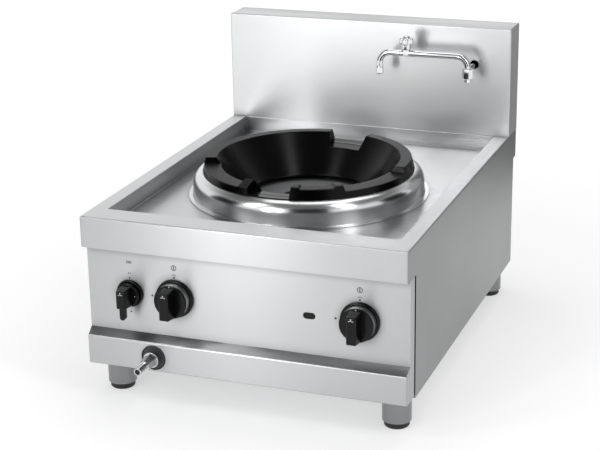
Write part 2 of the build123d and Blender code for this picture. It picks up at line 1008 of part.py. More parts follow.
pilot_ring = (head_radius + plate_hole_radius) / 2
x_pilot = (pilot_ring**2 - bracket_width**2 * 0.75) ** 0.5
y_pilot = y_burner - (pilot_ring**2 - x_pilot**2) ** 0.5
x_lead = x_pilot + lead_spread
z_lead = z_well - sheet - pilot_pipe_radius - pipe_gap
y_lead = y_tap + tap_length / 2
z_tap_top = z_control + tap_radius
z_strap = z_mixer - mixer_radius
lead_turn = min(lead_bend, (z_lead - z_tap_top) * bend_share)

for side, name, lead_name in ((-1, "pilot_burner", "pilot_pipe"), (1, "thermocouple", "thermocouple_lead")):
    x_tap = x_knobs["left"] if side < 0 else x_knobs["right"]
    lead_route = [
        (x_tap, y_lead, z_tap_top),
        (x_tap, y_lead, z_lead),
        (side * x_lead, y_lead, z_lead),
        (side * x_lead, y_pilot, z_lead),
        (side * (x_pilot + pilot_pipe_radius), y_pilot, z_lead),
    ]
    lead_bar = bent_pipe(lead_route, lead_turn, lead_radius)
    with BuildPart() as lead:
        add(lead_bar)
    lead.part.label = lead_name
    export_step(lead.part, f"parts/{lead_name}.step")

    with BuildPart() as riser:
        with BuildSketch(Plane.XY.offset(z_strap)):
            with Locations((side * x_pilot, y_pilot)):
                Circle(pilot_pipe_radius)
        extrude(amount=z_plate + pilot_hood_height - z_strap)
        if side < 0:
            # Hood that turns the pilot flame towards the burner head
            with BuildSketch(Plane.XY.offset(z_plate + pilot_hood_height)):
                with Locations((side * x_pilot, y_pilot)):
                    Rectangle(3 * pilot_pipe_radius, 2 * pilot_pipe_radius)
            extrude(amount=pilot_hood_height)
    riser.part.label = name
    export_step(riser.part, f"parts/{name}.step")


# ---- Bezels, gas knobs, bands --------------------------------------------------------

bezels = {
    "left": (x_knobs["left"], bezel_radius, knob_radius),
    "right": (x_knobs["right"], bezel_radius, knob_radius),
    "lever": (x_lever, lever_bezel_radius, lever_disc_radius),
}
for name, (x, outer_radius, inner_radius) in bezels.items():
    with BuildPart() as knob_bezel:
        with BuildSketch(facing_front(y_panel)):
            with Locations((x, z_control)):
                Circle(outer_radius)
                Circle(inner_radius + bezel_clearance, mode=Mode.SUBTRACT)
        extrude(amount=bezel_height)
        outer_rim = knob_bezel.edges().filter_by(GeomType.CIRCLE).group_by(Axis.Y)[0]
        fillet(outer_rim.sort_by(SortBy.RADIUS)[-1], bezel_edge)
    knob_bezel.part.label = f"knob_bezel_{name}"
    export_step(knob_bezel.part, f"parts/knob_bezel_{name}.step")

band_radius = knob_radius - knob_band

for name, x in x_knobs.items():
    with BuildPart() as knob_band_part:
        with BuildSketch(facing_front(y_knob_rear)):
            with Locations((x, z_control)):
                Circle(knob_radius)
                Circle(band_radius, mode=Mode.SUBTRACT)
        extrude(amount=knob_skirt)
    knob_band_part.part.label = f"knob_band_{name}"
    export_step(knob_band_part.part, f"parts/knob_band_{name}.step")

    with BuildPart() as knob:
        with BuildSketch(facing_front(y_knob_rear)):
            with Locations((x, z_control)):
                Circle(band_radius)
        extrude(amount=knob_skirt)
        with BuildSketch(facing_front(y_band_front)):
            with Locations((x, z_control)):
                Circle(knob_radius)
        extrude(amount=knob_face)
        face_rim = knob.edges().filter_by(GeomType.CIRCLE).group_by(Axis.Y)[0]
        fillet(face_rim, grip_edge)
        # Grip bar with drafted sides and ends
        with BuildSketch(facing_front(y_face)):
            with Locations((x, z_control)):
                RectangleRounded(grip_width + grip_draft, grip_length, grip_corner)
        with BuildSketch(facing_front(y_face - grip_height)):
            with Locations((x, z_control)):
                RectangleRounded(grip_width, grip_length - 2 * grip_draft, grip_corner)
        loft()
        fillet(knob.faces().sort_by(Axis.Y)[0].edges(), grip_edge)
        # Hollow back round the hub
        with BuildSketch(facing_front(y_knob_rear)):
            with Locations((x, z_control)):
                Circle(band_radius - knob_shell)
                Circle(2 * spindle_radius, mode=Mode.SUBTRACT)
        extrude(amount=knob_skirt - knob_web, mode=Mode.SUBTRACT)
        with BuildSketch(facing_front(y_knob_rear)):
            with Locations((x, z_control)):
                Circle(spindle_radius)
        extrude(amount=knob_skirt, mode=Mode.SUBTRACT)
    knob.part.label = f"knob_{name}"
    export_step(knob.part, f"parts/knob_{name}.step")


# ---- Water lever and its valve -------------------------------------------------------

y_lever_face = y_knob_rear - lever_disc_height
arm_half = lever_arm_width / 2
z_arm_tip = z_control - lever_arm_reach + arm_half
z_arm_top = z_control - lever_bar_length / 2 + grip_corner
y_valve_rear = y_tap + valve_length
z_valve_neck = z_control - tap_radius - valve_neck

with BuildPart() as water_lever:
    with BuildSketch(facing_front(y_knob_rear)):
        with Locations((x_lever, z_control)):
            Circle(lever_disc_radius)
    extrude(amount=lever_disc_height)
    lever_rim = water_lever.edges().filter_by(GeomType.CIRCLE).group_by(Axis.Y)[0]
    fillet(lever_rim, lever_edge)
    with BuildSketch(facing_front(y_lever_face)):
        with Locations((x_lever, z_control)):
            RectangleRounded(lever_bar_width + grip_draft, lever_bar_length, grip_corner)
    with BuildSketch(facing_front(y_lever_face - lever_bar_height)):
        with Locations((x_lever, z_control)):
            RectangleRounded(lever_bar_width, lever_bar_length - grip_draft, grip_corner)
    loft()
    # Arm with a round tip that points down when the water is off
    with BuildSketch(facing_front(y_lever_face - lever_bar_height + lever_arm_setback)):
        with BuildLine():
            Polyline(
                (x_lever - arm_half, z_arm_tip),
                (x_lever - arm_half - arm_taper, z_arm_top),
                (x_lever + arm_half + arm_taper, z_arm_top),
                (x_lever + arm_half, z_arm_tip),
            )
            ThreePointArc(
                (x_lever + arm_half, z_arm_tip),
                (x_lever, z_control - lever_arm_reach),
                (x_lever - arm_half, z_arm_tip),
            )
        make_face()
    extrude(amount=-lever_arm_thickness)
    with BuildSketch(facing_front(y_knob_rear)):
        with Locations((x_lever, z_control)):
            Circle(spindle_radius)
    extrude(amount=lever_disc_height, mode=Mode.SUBTRACT)

water_lever.part.label = "water_lever"
export_step(water_lever.part, "parts/water_lever.step")

with BuildPart() as water_valve_spindle:
    with BuildSketch(facing_front(y_lever_face)):
        with Locations((x_lever, z_control)):
            Circle(spindle_radius)
    extrude(amount=-(y_tap + valve_bore_depth - end_gap - y_lever_face))

water_valve_spindle.part.label = "water_valve_spindle"
export_step(water_valve_spindle.part, "parts/water_valve_spindle.step")

with BuildPart() as water_valve_body:
    with BuildSketch(facing_front(y_tap)):
        with Locations((x_lever, z_control)):
            Circle(tap_radius)
    extrude(amount=-valve_length)
    with BuildSketch(Plane.XY.offset(z_valve_neck)):
        with Locations((x_lever, y_tap + valve_length / 2)):
            Circle(pipe_radius + pipe_gap)
    extrude(amount=tap_radius)
    with BuildSketch(facing_front(y_tap)):
        with Locations((x_lever, z_control)):
            Circle(spindle_radius + clearance)
    extrude(amount=-valve_bore_depth, mode=Mode.SUBTRACT)

water_valve_body.part.label = "water_valve_body"
export_step(water_valve_body.part, "parts/water_valve_body.step")

inlet_route = [
    (x_lever, y_back + rear_reach, z_water),
    (x_lever, y_tap + valve_length / 2, z_water),
    (x_lever, y_tap + valve_length / 2, z_valve_neck),
]
inlet_bar = bent_pipe(inlet_route, water_bend, pipe_radius)
with BuildPart() as water_inlet_pipe:
    add(inlet_bar)
    # Threaded end with its bore
    with BuildSketch(facing_front(y_back + rear_reach)):
        with Locations((x_lever, z_water)):
            Circle(pipe_radius + 1)
            Circle(thread_radius, mode=Mode.SUBTRACT)
            Circle(inlet_bore_radius)
    extrude(amount=thread_length, mode=Mode.SUBTRACT)

water_inlet_pipe.part.label = "water_inlet_pipe"
export_step(water_inlet_pipe.part, "parts/water_inlet_pipe.step")

y_feed = y_back - splash_depth / 2
y_stub_rear = y_splash + sheet + back_nut_thickness
feed_route = [
    (x_lever, y_valve_rear, z_control),
    (x_lever, y_feed, z_control),
    (x_spout, y_feed, z_control),
    (x_spout, y_feed, z_stub),
    (x_spout, y_stub_rear, z_stub),
]
feed_bar = bent_pipe(feed_route, feed_bend, feed_pipe_radius)
with BuildPart() as water_feed_pipe:
    add(feed_bar)

water_feed_pipe.part.label = "water_feed_pipe"
export_step(water_feed_pipe.part, "parts/water_feed_pipe.step")


# ---- Sight glass behind the slot in the panel ----------------------------------------

with BuildPart() as sight_glass:
    with BuildSketch(facing_front(y_panel + sheet)):
        with Locations((half_width - sight_inset, z_skirt - sight_drop)):
            RectangleRounded(sight_length + sight_overlap, sight_height + sight_overlap, bend_radius)
    extrude(amount=-sight_thickness)

sight_glass.part.label = "sight_glass"
export_step(sight_glass.part, "parts/sight_glass.step")


# ---- Drain: flange and strainer in the basin, pipe, nut and spigot in front -----------

z_cup = z_deck - sink_cup_depth
with BuildPart() as drain_flange:
    with BuildSketch(upright_section(sink_x, y_sink)):
        with BuildLine():
            Polyline(
                (sink_hole_radius - sink_wall, z_deck + sheet),
                (sink_flange_radius, z_deck + sheet),
                (sink_flange_radius, z_deck),
                (sink_hole_radius - sink_gasket_gap, z_deck),
                (sink_hole_radius - sink_gasket_gap, z_cup),
                (drain_pipe_radius - drain_pipe_wall, z_cup),
                (drain_pipe_radius - drain_pipe_wall, z_cup + drain_pipe_wall),
                (sink_hole_radius - sink_wall, z_cup + drain_pipe_wall),
                close=True,
            )
        make_face()
    revolve(axis=upright_axis(sink_x, y_sink))

drain_flange.part.label = "drain_flange"
export_step(drain_flange.part, "parts/drain_flange.step")

with BuildPart() as drain_strainer:
    with BuildSketch(Plane.XY.offset(z_deck + sheet)):
        with Locations((sink_x, y_sink)):
            Circle(sink_hole_radius)
            with PolarLocations(sink_hole_radius * 0.6, strainer_holes):
                Circle(strainer_hole_radius, mode=Mode.SUBTRACT)
    extrude(amount=strainer_thickness)

drain_strainer.part.label = "drain_strainer"
export_step(drain_strainer.part, "parts/drain_strainer.step")

y_nut_front = y_kick + end_gap
y_nut_rear = y_nut_front + drain_nut_length
y_drain_turn = y_sink - (sink_x - x_drain)
drain_route = [
    (sink_x, y_sink, z_cup),
    (sink_x, y_sink, z_drain),
    (x_drain, y_drain_turn, z_drain),
    (x_drain, y_nut_rear, z_drain),
]
drain_bar = bent_pipe(drain_route, drain_bend, drain_pipe_radius)
with BuildPart() as drain_pipe:
    add(drain_bar)

drain_pipe.part.label = "drain_pipe"
export_step(drain_pipe.part, "parts/drain_pipe.step")

with BuildPart() as drain_nut:
    with BuildSketch(facing_front(y_nut_front)):
        with Locations((x_drain, z_drain)):
            Circle(drain_nut_radius)
            Circle(tail_radius, mode=Mode.SUBTRACT)
    extrude(amount=-drain_nut_length)

drain_nut.part.label = "drain_nut"
export_step(drain_nut.part, "parts/drain_nut.step")

with BuildPart() as drain_tail:
    with BuildSketch(level_section(x_drain, y_front, z_drain)):
        with BuildLine():
            Polyline(
                (0, y_nut_rear - y_front),
                (tail_radius, y_nut_rear - y_front),
                (tail_radius, -tail_collar_rear),
                (tail_collar_radius, -tail_collar_rear),
                (tail_collar_radius, -tail_collar_front),
                (0, -tail_collar_front),
                close=True,
            )
        make_face()
    revolve(axis=level_axis(x_drain, y_front, z_drain))
    # Tapered hexagon for the spanner
    with BuildSketch(facing_front(y_front - tail_collar_front)):
        with Locations((x_drain, z_drain)):
            RegularPolygon(tail_hex_radius, 6)
    with BuildSketch(facing_front(y_front - tail_hex_front)):
        with Locations((x_drain, z_drain)):
            RegularPolygon(tail_radius, 6)
    loft()
    # Spigot for the waste hose
    with BuildSketch(facing_front(y_front - tail_hex_front)):
        with Locations((x_drain, z_drain)):
            Circle(spigot_radius - spigot_barb)
    extrude(amount=front_reach - tail_hex_front)
    with BuildSketch(facing_front(y_front - front_reach + spigot_length)):
        with Locations((x_drain, z_drain)):
            Circle(spigot_radius)
    extrude(amount=spigot_length)
    with BuildSketch(facing_front(y_front - front_reach)):
        with Locations((x_drain, z_drain)):
            Circle(spigot_bore_radius)
    extrude(amount=-2 * spigot_length, mode=Mode.SUBTRACT)

drain_tail.part.label = "drain_tail"
export_step(drain_tail.part, "parts/drain_tail.step")


# ---- Spout: wall fitting, swivel, bent pipe, nozzle and stop valve -------------------

z_swivel = z_stub + swivel_above_stub - swivel_height
swivel_flat = swivel_radius * 3**0.5 / 2

with BuildPart() as spout_wall_fitting:
    with BuildSketch(facing_front(y_spout + swivel_flat)):
        with Locations((x_spout, z_stub)):
            Circle(stub_radius)
    extrude(amount=-(y_stub_rear - y_spout - swivel_flat))
    # Back nut inside the splashback
    with BuildSketch(facing_front(y_splash + sheet)):
        with Locations((x_spout, z_stub)):
            RegularPolygon(back_nut_radius, 6)
    extrude(amount=-back_nut_thickness)

spout_wall_fitting.part.label = "spout_wall_fitting"
export_step(spout_wall_fitting.part, "parts/spout_wall_fitting.step")

with BuildPart() as swivel_body:
    with BuildSketch(Plane.XY.offset(z_swivel)):
        with Locations((x_spout, y_spout)):
            RegularPolygon(swivel_radius, 6)
    extrude(amount=swivel_height)
    with BuildSketch(Plane.XY.offset(z_swivel)):
        with Locations((x_spout, y_spout)):
            RegularPolygon(swivel_foot_radius, 6)
    extrude(amount=-swivel_foot_height)
    with BuildSketch(Plane.XY.offset(z_swivel + swivel_height)):
        with Locations((x_spout, y_spout)):
            Circle(spout_radius + clearance)
    extrude(amount=-swivel_bore_depth, mode=Mode.SUBTRACT)

swivel_body.part.label = "swivel_body"
export_step(swivel_body.part, "parts/swivel_body.step")

x_nozzle = x_spout - spout_reach
z_nozzle = z_top + nozzle_level
x_stop = x_spout - stop_reach
spout_route = [
    (x_spout, y_spout, z_swivel + swivel_height - swivel_bore_depth + end_gap),
    (x_spout, y_spout, z_spout),
    (x_nozzle, y_spout, z_spout),
    (x_nozzle, y_spout, z_nozzle + nozzle_height),
]
spout_bar = bent_pipe(spout_route, spout_bend, spout_radius)
with BuildPart() as spout_pipe:
    add(spout_bar)
    with BuildSketch(Plane.XY.offset(z_spout)):
        with Locations((x_stop, y_spout)):
            Circle(stop_boss_radius)
    extrude(amount=stop_boss_radius)
    with BuildSketch(Plane.XY.offset(z_spout)):
        with Locations((x_stop, y_spout)):
            Circle(stop_nub_radius)
    extrude(amount=-stop_nub_drop)

spout_pipe.part.label = "spout_pipe"
export_step(spout_pipe.part, "parts/spout_pipe.step")

with BuildPart() as spout_nozzle:
    with BuildSketch(upright_section(x_nozzle, y_spout)):
        with BuildLine():
            Polyline(
                (nozzle_radius - nozzle_wall, z_nozzle),
                (nozzle_radius - nozzle_edge, z_nozzle),
                (nozzle_radius, z_nozzle + nozzle_edge),
                (nozzle_radius, z_nozzle + nozzle_height - nozzle_mouth),
                (spout_radius, z_nozzle + nozzle_height),
                (0, z_nozzle + nozzle_height),
                (0, z_nozzle + nozzle_mouth),
                (nozzle_radius - nozzle_wall, z_nozzle + nozzle_mouth),
                close=True,
            )
        make_face()
    revolve(axis=upright_axis(x_nozzle, y_spout))

spout_nozzle.part.label = "spout_nozzle"
export_step(spout_nozzle.part, "parts/spout_nozzle.step")

z_stop = z_spout + stop_boss_radius + clearance
with BuildPart() as stop_valve_handle:
    with BuildSketch(upright_section(x_stop, y_spout)):
        with BuildLine():
            Polyline(
                (0, z_stop + stop_height),
                (0, z_stop),
                (stop_radius, z_stop),
                (stop_radius, z_stop + stop_height - stop_radius),
            )
            CenterArc((0, z_stop + stop_height - stop_radius), stop_radius, 0, 90)
        make_face()
    revolve(axis=upright_axis(x_stop, y_spout))
    # Four finger lobes
    with BuildSketch(Plane.XY.offset(z_stop + 0.35 * stop_height)):
        with Locations((x_stop, y_spout)):
            with PolarLocations(stop_radius - 2, 4):
                Circle(stop_lobe_radius)
    extrude(amount=0.45 * stop_height)

stop_valve_handle.part.label = "stop_valve_handle"
export_step(stop_valve_handle.part, "parts/stop_valve_handle.step")
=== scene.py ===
import math

import bmesh
import bpy
from mathutils import Matrix, Vector


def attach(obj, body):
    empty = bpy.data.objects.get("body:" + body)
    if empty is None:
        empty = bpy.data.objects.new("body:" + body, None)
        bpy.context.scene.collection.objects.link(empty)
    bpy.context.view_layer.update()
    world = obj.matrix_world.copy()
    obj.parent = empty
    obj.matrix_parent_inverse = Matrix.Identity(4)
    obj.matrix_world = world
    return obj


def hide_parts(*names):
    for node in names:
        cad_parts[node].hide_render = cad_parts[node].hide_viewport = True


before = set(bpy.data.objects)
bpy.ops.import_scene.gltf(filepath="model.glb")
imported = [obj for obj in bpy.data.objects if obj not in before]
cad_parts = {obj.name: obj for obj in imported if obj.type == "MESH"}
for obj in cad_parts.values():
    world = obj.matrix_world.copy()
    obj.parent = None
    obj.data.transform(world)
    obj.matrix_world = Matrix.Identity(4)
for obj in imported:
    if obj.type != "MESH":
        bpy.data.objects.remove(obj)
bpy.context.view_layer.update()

# Wok range in millimetres, in the frame of the CAD model: X right, Y back, Z up.


# ---- Worktop ----
# Four folded rims of 1.5 mm stainless sheet with a deep skirt, welded at mitred corners, with the
# basin's floor and a rolled upstand ring welded in. It drops over the cabinet. Every fold is bent
# to a small radius.

SHEET = 1.5

# Brushed lines, and soft patches in their gloss. Real lines are about 0.1 mm wide, which is too
# fine to show, so they are drawn coarser.
GRAIN_WIDTH = 1.2
GRAIN_LENGTH = 90
CLOUD = 200


def linear(code):
    """Linear colour with alpha from an sRGB hex code."""
    parts = [int(code[i:i + 2], 16) / 255 for i in (1, 3, 5)]
    return (*[c / 12.92 if c <= 0.04045 else ((c + 0.055) / 1.055) ** 2.4 for c in parts], 1)


def add_node(tree, kind, values=None, **settings):
    """Node with its settings, and its inputs set to values or linked to other nodes' outputs."""
    node = tree.nodes.new(kind)
    for key, value in settings.items():
        setattr(node, key, value)
    for key, value in (values or {}).items():
        if isinstance(value, bpy.types.NodeSocket):
            tree.links.new(value, node.inputs[key])
        else:
            node.inputs[key].default_value = value
    return node


def new_material(name):
    """Empty node material with its tree and output."""
    material = bpy.data.materials.new(name)
    material.use_nodes = True
    tree = material.node_tree
    tree.nodes.clear()
    output = add_node(tree, "ShaderNodeOutputMaterial")
    return material, tree, output


def brushed_steel(name, grain, colour, rough=(0.28, 0.36), anisotropic=0.9):
    """Stainless sheet with a satin brushed face: fine lines along one axis, soft long gloss, and
    painted shade darkening its colour in creases and corners.
    """
    material, tree, output = new_material(name)
    place = add_node(tree, "ShaderNodeTexCoord").outputs["Object"]
    stretch = [1000 / GRAIN_WIDTH] * 3
    stretch[grain] = 1000 / GRAIN_LENGTH
    lines = add_node(tree, "ShaderNodeMapping", {"Vector": place, "Scale": stretch})
    streaks = add_node(
        tree, "ShaderNodeTexNoise", {"Vector": lines.outputs[0], "Scale": 1, "Detail": 3}
    )
    cloud = add_node(
        tree, "ShaderNodeTexNoise", {"Vector": place, "Scale": 1000 / CLOUD, "Detail": 2}
    )
    blend = add_node(
        tree, "ShaderNodeMath", {0: streaks.outputs[0], 1: cloud.outputs[0]}, operation="ADD"
    )
    gloss = add_node(
        tree,
        "ShaderNodeMapRange",
        {"Value": blend.outputs[0], 1: 0.6, 2: 1.4, 3: rough[0], 4: rough[1]},
    )
    relief = add_node(
        tree, "ShaderNodeBump", {"Height": streaks.outputs[0], "Strength": 0.12, "Distance": 0.0002}
    )
    # Painted shade: ambient occlusion darkens the steel's colour within 2 cm of creases, corners and
    # nearby parts.
    crease = add_node(
        tree, "ShaderNodeAmbientOcclusion", {"Color": linear(colour), "Distance": 0.02}, samples=8
    )
    steel = add_node(
        tree,
        "ShaderNodeBsdfPrincipled",
        {
            "Base Color": crease.outputs[0],
            "Metallic": 1,
            "Roughness": gloss.outputs[0],
            "Anisotropic": anisotropic,
            "Anisotropic Rotation": 0.25,
            "Normal": relief.outputs[0],
        },
    )
    tree.links.new(steel.outputs[0], output.inputs[0])
    return material


def apply_modifiers(obj):
    """Makes the result of the object's modifiers its mesh."""
    graph = bpy.context.evaluated_depsgraph_get()
    mesh = bpy.data.meshes.new_from_object(obj.evaluated_get(graph), depsgraph=graph)
    obj.modifiers.clear()
    obj.data = mesh


def new_object(name, bm, unit=0.001):
    """Object at the origin from a mesh drawn in millimetres, or in a unit given in metres."""
    bmesh.ops.scale(bm, vec=(unit, unit, unit), verts=bm.verts)
    mesh = bpy.data.meshes.new(name)
    bm.to_mesh(mesh)
    bm.free()
    obj = bpy.data.objects.new(name, mesh)
    bpy.context.collection.objects.link(obj)
    return obj


def make_piece(name, bm, material, wall=0, wall_side=-1, cutters=(), sharp=35, edge=0):
    """Finished piece with one material, and with a wall, cut holes or a broken edge if given."""
    obj = new_object(name, bm)
    if wall:
        thicken = obj.modifiers.new("wall", "SOLIDIFY")
        thicken.thickness = wall / 1000
        thicken.offset = wall_side
        thicken.use_even_offset = True
    for cutter in cutters:
        cut = obj.modifiers.new("hole", "BOOLEAN")
        cut.operation = "DIFFERENCE"
        cut.solver = "EXACT"
        cut.object = cutter
    if edge:
        burr = obj.modifiers.new("edge", "BEVEL")
        burr.width = edge / 1000
        burr.segments = 2
        burr.angle_limit = math.radians(60)
    if obj.modifiers:
        apply_modifiers(obj)
    for cutter in cutters:
        bpy.data.objects.remove(cutter)
    obj.data.shade_smooth()
    obj.data.set_sharp_from_angle(angle=math.radians(sharp))
    even = obj.modifiers.new("even_normals", "WEIGHTED_NORMAL")
    even.keep_sharp = True
    apply_modifiers(obj)
    obj.data.materials.clear()
    obj.data.materials.append(material)
    return obj


def block(bm, low, high):
    """Box between two corners, as its new vertices."""
    verts = bmesh.ops.create_cube(bm, size=1)["verts"]
    size = [b - a for a, b in zip(low, high)]
    middle = [(a + b) / 2 for a, b in zip(low, high)]
    bmesh.ops.scale(bm, vec=size, verts=verts)
    bmesh.ops.translate(bm, vec=middle, verts=verts)
    return verts


def soften(bm, edges, radius, segments=4):
    """Rounds edges."""
    bmesh.ops.bevel(
        bm,
        geom=edges,
        offset=radius,
        segments=segments,
        profile=0.5,
        affect="EDGES",
        material=-1,
        clamp_overlap=True,
    )


def between(edge, low, high):
    """True if both ends of the edge lie in the box."""
    return all(
        a - 0.01 <= v.co[i] <= b + 0.01
        for v in edge.verts
        for i, (a, b) in enumerate(zip(low, high))
    )


def edges_of(verts):
    """Edges at the vertices, each once and always in the same order."""
    return list(dict.fromkeys(e for v in verts for e in v.link_edges))


def new_verts(extruded):
    """Vertices that an extrusion made."""
    return [g for g in extruded["geom"] if isinstance(g, bmesh.types.BMVert)]


def rod(bm, radius, length, centre, segments, axis="Z", tip=None):
    """Round or many-sided bar along Z or Y, as its new vertices. A tip gives its far radius."""
    verts = bmesh.ops.create_cone(
        bm,
        cap_ends=True,
        segments=segments,
        radius1=radius,
        radius2=radius if tip is None else tip,
        depth=length,
    )["verts"]
    if axis == "Y":
        forwards = Matrix.Rotation(math.pi / 2, 3, "X")
        bmesh.ops.rotate(bm, cent=(0, 0, 0), matrix=forwards, verts=verts)
    bmesh.ops.translate(bm, vec=centre, verts=verts)
    return verts


# One stainless in several tones, as lit and shaded copies: the side sheets darkest, as painted shade,
# and the front sheets a shade darker than the basin and splashback.
steel_across = brushed_steel("stainless_sheet_brushed_across", 0, "#b3b4b5")
steel_back = brushed_steel("stainless_sheet_brushed_to_the_back_shaded", 1, "#909192")
steel_plain = brushed_steel("stainless_sheet_basin", 0, "#d0d1d2", rough=(0.26, 0.34), anisotropic=0)

HALF_WIDTH = 300
HALF_DEPTH = 387.5
MIDDLE_Y = 26
SKIRT_Z = 286
BASIN_Z = 311
RIM_Z = 343
TOP_LOW = (-HALF_WIDTH, MIDDLE_Y - HALF_DEPTH, SKIRT_Z)
TOP_HIGH = (HALF_WIDTH, MIDDLE_Y + HALF_DEPTH, RIM_Z)
BASIN_LOW = (-270, -308.5, BASIN_Z)
BASIN_HIGH = (270, 345.5, RIM_Z)
FOLD_R = 2.5
BASIN_FOLD_R = 1.5
FLOOR_MARGIN = 8
BURNER_Y = -9.5
OPENING = 165
UPSTAND = 12
SINK = (-15, 283.5)
SINK_HOLE = 22
HEM = 15
SKIRT_BAND = 10
WELD_R = 0.9
WELD_SET_IN = 0.6


def floor_face(bm):
    """Largest level face at the basin's depth."""
    level = [f for f in bm.faces if abs(f.normal.z) > 0.99 and f.calc_center_median().z < BASIN_Z + 1]
    return max(level, key=lambda f: f.calc_area())


bm = bmesh.new()
bmesh.ops.create_grid(bm, x_segments=1, y_segments=1, size=0.5)
bmesh.ops.scale(bm, vec=(2 * HALF_WIDTH, 2 * HALF_DEPTH, 1), verts=bm.verts)
bmesh.ops.translate(bm, vec=(0, MIDDLE_Y, RIM_Z), verts=bm.verts)
for normal in ((1, 0, 0), (0, 1, 0)):
    for corner in (BASIN_LOW, BASIN_HIGH):
        whole = bm.verts[:] + bm.edges[:] + bm.faces[:]
        bmesh.ops.bisect_plane(bm, geom=whole, plane_co=corner, plane_no=normal)
basin_middle = Vector((0, (BASIN_LOW[1] + BASIN_HIGH[1]) / 2, RIM_Z))
basin_face = min(bm.faces, key=lambda f: (f.calc_center_median() - basin_middle).length)
sunk = bmesh.ops.extrude_face_region(bm, geom=[basin_face])
bmesh.ops.delete(bm, geom=[basin_face], context="FACES")
bmesh.ops.translate(bm, vec=(0, 0, BASIN_Z - RIM_Z), verts=new_verts(sunk))
skirt = bmesh.ops.extrude_edge_only(bm, edges=[e for e in bm.edges if e.is_boundary])
bmesh.ops.translate(bm, vec=(0, 0, SKIRT_Z - RIM_Z), verts=new_verts(skirt))
bmesh.ops.recalc_face_normals(bm, faces=bm.faces)
if max(f.normal.z for f in bm.faces) < 0.5:
    bmesh.ops.reverse_faces(bm, faces=bm.faces)
corners = [
    e
    for e in bm.edges
    for x in (TOP_LOW[0], TOP_HIGH[0])
    for y in (TOP_LOW[1], TOP_HIGH[1])
    if between(e, (x, y, SKIRT_Z), (x, y, RIM_Z))
]
front_left, front_right = (TOP_LOW[0], TOP_LOW[1], RIM_Z), (TOP_HIGH[0], TOP_LOW[1], RIM_Z)
rear_left, rear_right = (TOP_LOW[0], TOP_HIGH[1], RIM_Z), TOP_HIGH
rim_sides = ((front_left, rear_left), (front_right, rear_right), (front_left, front_right))
rim = [e for e in bm.edges for start, end in rim_sides if between(e, start, end)]
soften(bm, corners + rim, FOLD_R)
soften(bm, [e for e in bm.edges if between(e, BASIN_LOW, BASIN_HIGH)], BASIN_FOLD_R)
bmesh.ops.inset_region(bm, faces=[floor_face(bm)], thickness=FLOOR_MARGIN)
basin_face = floor_face(bm)
floor_edges = basin_face.edges[:]
bmesh.ops.delete(bm, geom=[basin_face], context="FACES_ONLY")
burner_loop = bmesh.ops.create_circle(bm, segments=192, radius=OPENING)["verts"]
bmesh.ops.translate(bm, vec=(0, BURNER_Y, BASIN_Z), verts=burner_loop)
sink_loop = bmesh.ops.create_circle(bm, segments=64, radius=SINK_HOLE)["verts"]
bmesh.ops.translate(bm, vec=(*SINK, BASIN_Z), verts=sink_loop)
burner_edges = edges_of(burner_loop)
borders = floor_edges + burner_edges + edges_of(sink_loop)
bmesh.ops.triangle_fill(bm, edges=borders, use_beauty=True, normal=(0, 0, 1))
raised = bmesh.ops.extrude_edge_only(bm, edges=burner_edges)
bmesh.ops.translate(bm, vec=(0, 0, UPSTAND), verts=new_verts(raised))
hem_edges = [e for e in bm.edges if e.is_boundary and all(v.co.z < SKIRT_Z + 1 for v in e.verts)]
for vert in new_verts(bmesh.ops.extrude_edge_only(bm, edges=hem_edges)):
    vert.co.x *= (HALF_WIDTH - HEM) / HALF_WIDTH
    vert.co.y = MIDDLE_Y + (vert.co.y - MIDDLE_Y) * (HALF_DEPTH - HEM) / HALF_DEPTH
worktop = make_piece("worktop_sheet", bm, steel_plain, wall=SHEET)
worktop.data.materials.append(steel_across)
worktop.data.materials.append(steel_back)
# The front skirt band takes the front sheets' tone, and the side skirts take the darkest copy of the
# steel, as painted shade.
for face in worktop.data.polygons:
    if abs(face.normal.y) > 0.7 and face.center.y * 1000 < TOP_LOW[1] + SKIRT_BAND:
        face.material_index = 1
    elif abs(face.normal.x) > 0.7 and abs(face.center.x) * 1000 > HALF_WIDTH - SKIRT_BAND:
        face.material_index = 2
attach(worktop, "cabinet")
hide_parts("worktop_rims", "basin_floor", "basin_upstand")

bm = bmesh.new()
for x in (BASIN_LOW[0] + WELD_SET_IN, BASIN_HIGH[0] - WELD_SET_IN):
    for y in (BASIN_LOW[1] + WELD_SET_IN, BASIN_HIGH[1] - WELD_SET_IN):
        rod(bm, WELD_R, RIM_Z - BASIN_Z - 1, (x, y, (RIM_Z + BASIN_Z) / 2), segments=12)
welds = make_piece("basin_corner_welds", bm, steel_plain)
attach(welds, "cabinet")


# ---- Splashback ----
# A folded box of the same sheet, brushed across and welded to the rear rim. A flat plate closes it
# at the back.

SPLASH_LOW = (TOP_LOW[0], BASIN_HIGH[1], RIM_Z)
SPLASH_HIGH = (TOP_HIGH[0], TOP_HIGH[1], 563)

steel_splash = brushed_steel("stainless_sheet_splashback", 0, "#cbcccd", anisotropic=0.5)


def finish_node(node, material):
    """Gives a CAD node its material."""
    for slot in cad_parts[node].material_slots:
        slot.material = material


bm = bmesh.new()
block(bm, SPLASH_LOW, SPLASH_HIGH)
open_faces = [f for f in bm.faces if f.normal.z < -0.9 or f.normal.y > 0.9]
bmesh.ops.delete(bm, geom=open_faces, context="FACES")
soften(bm, [e for e in bm.edges if not e.is_boundary], FOLD_R)
splashback = make_piece("splashback_sheet", bm, steel_splash, wall=SHEET)
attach(splashback, "cabinet")
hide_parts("splashback")
finish_node("splashback_back_plate", steel_across)


# ---- Cabinet ----
# The front casing is one folded sheet: control panel, sloping ledge and lower panel.
# Side panels with flanges stand behind it, a slotted panel at the back, a tray below.

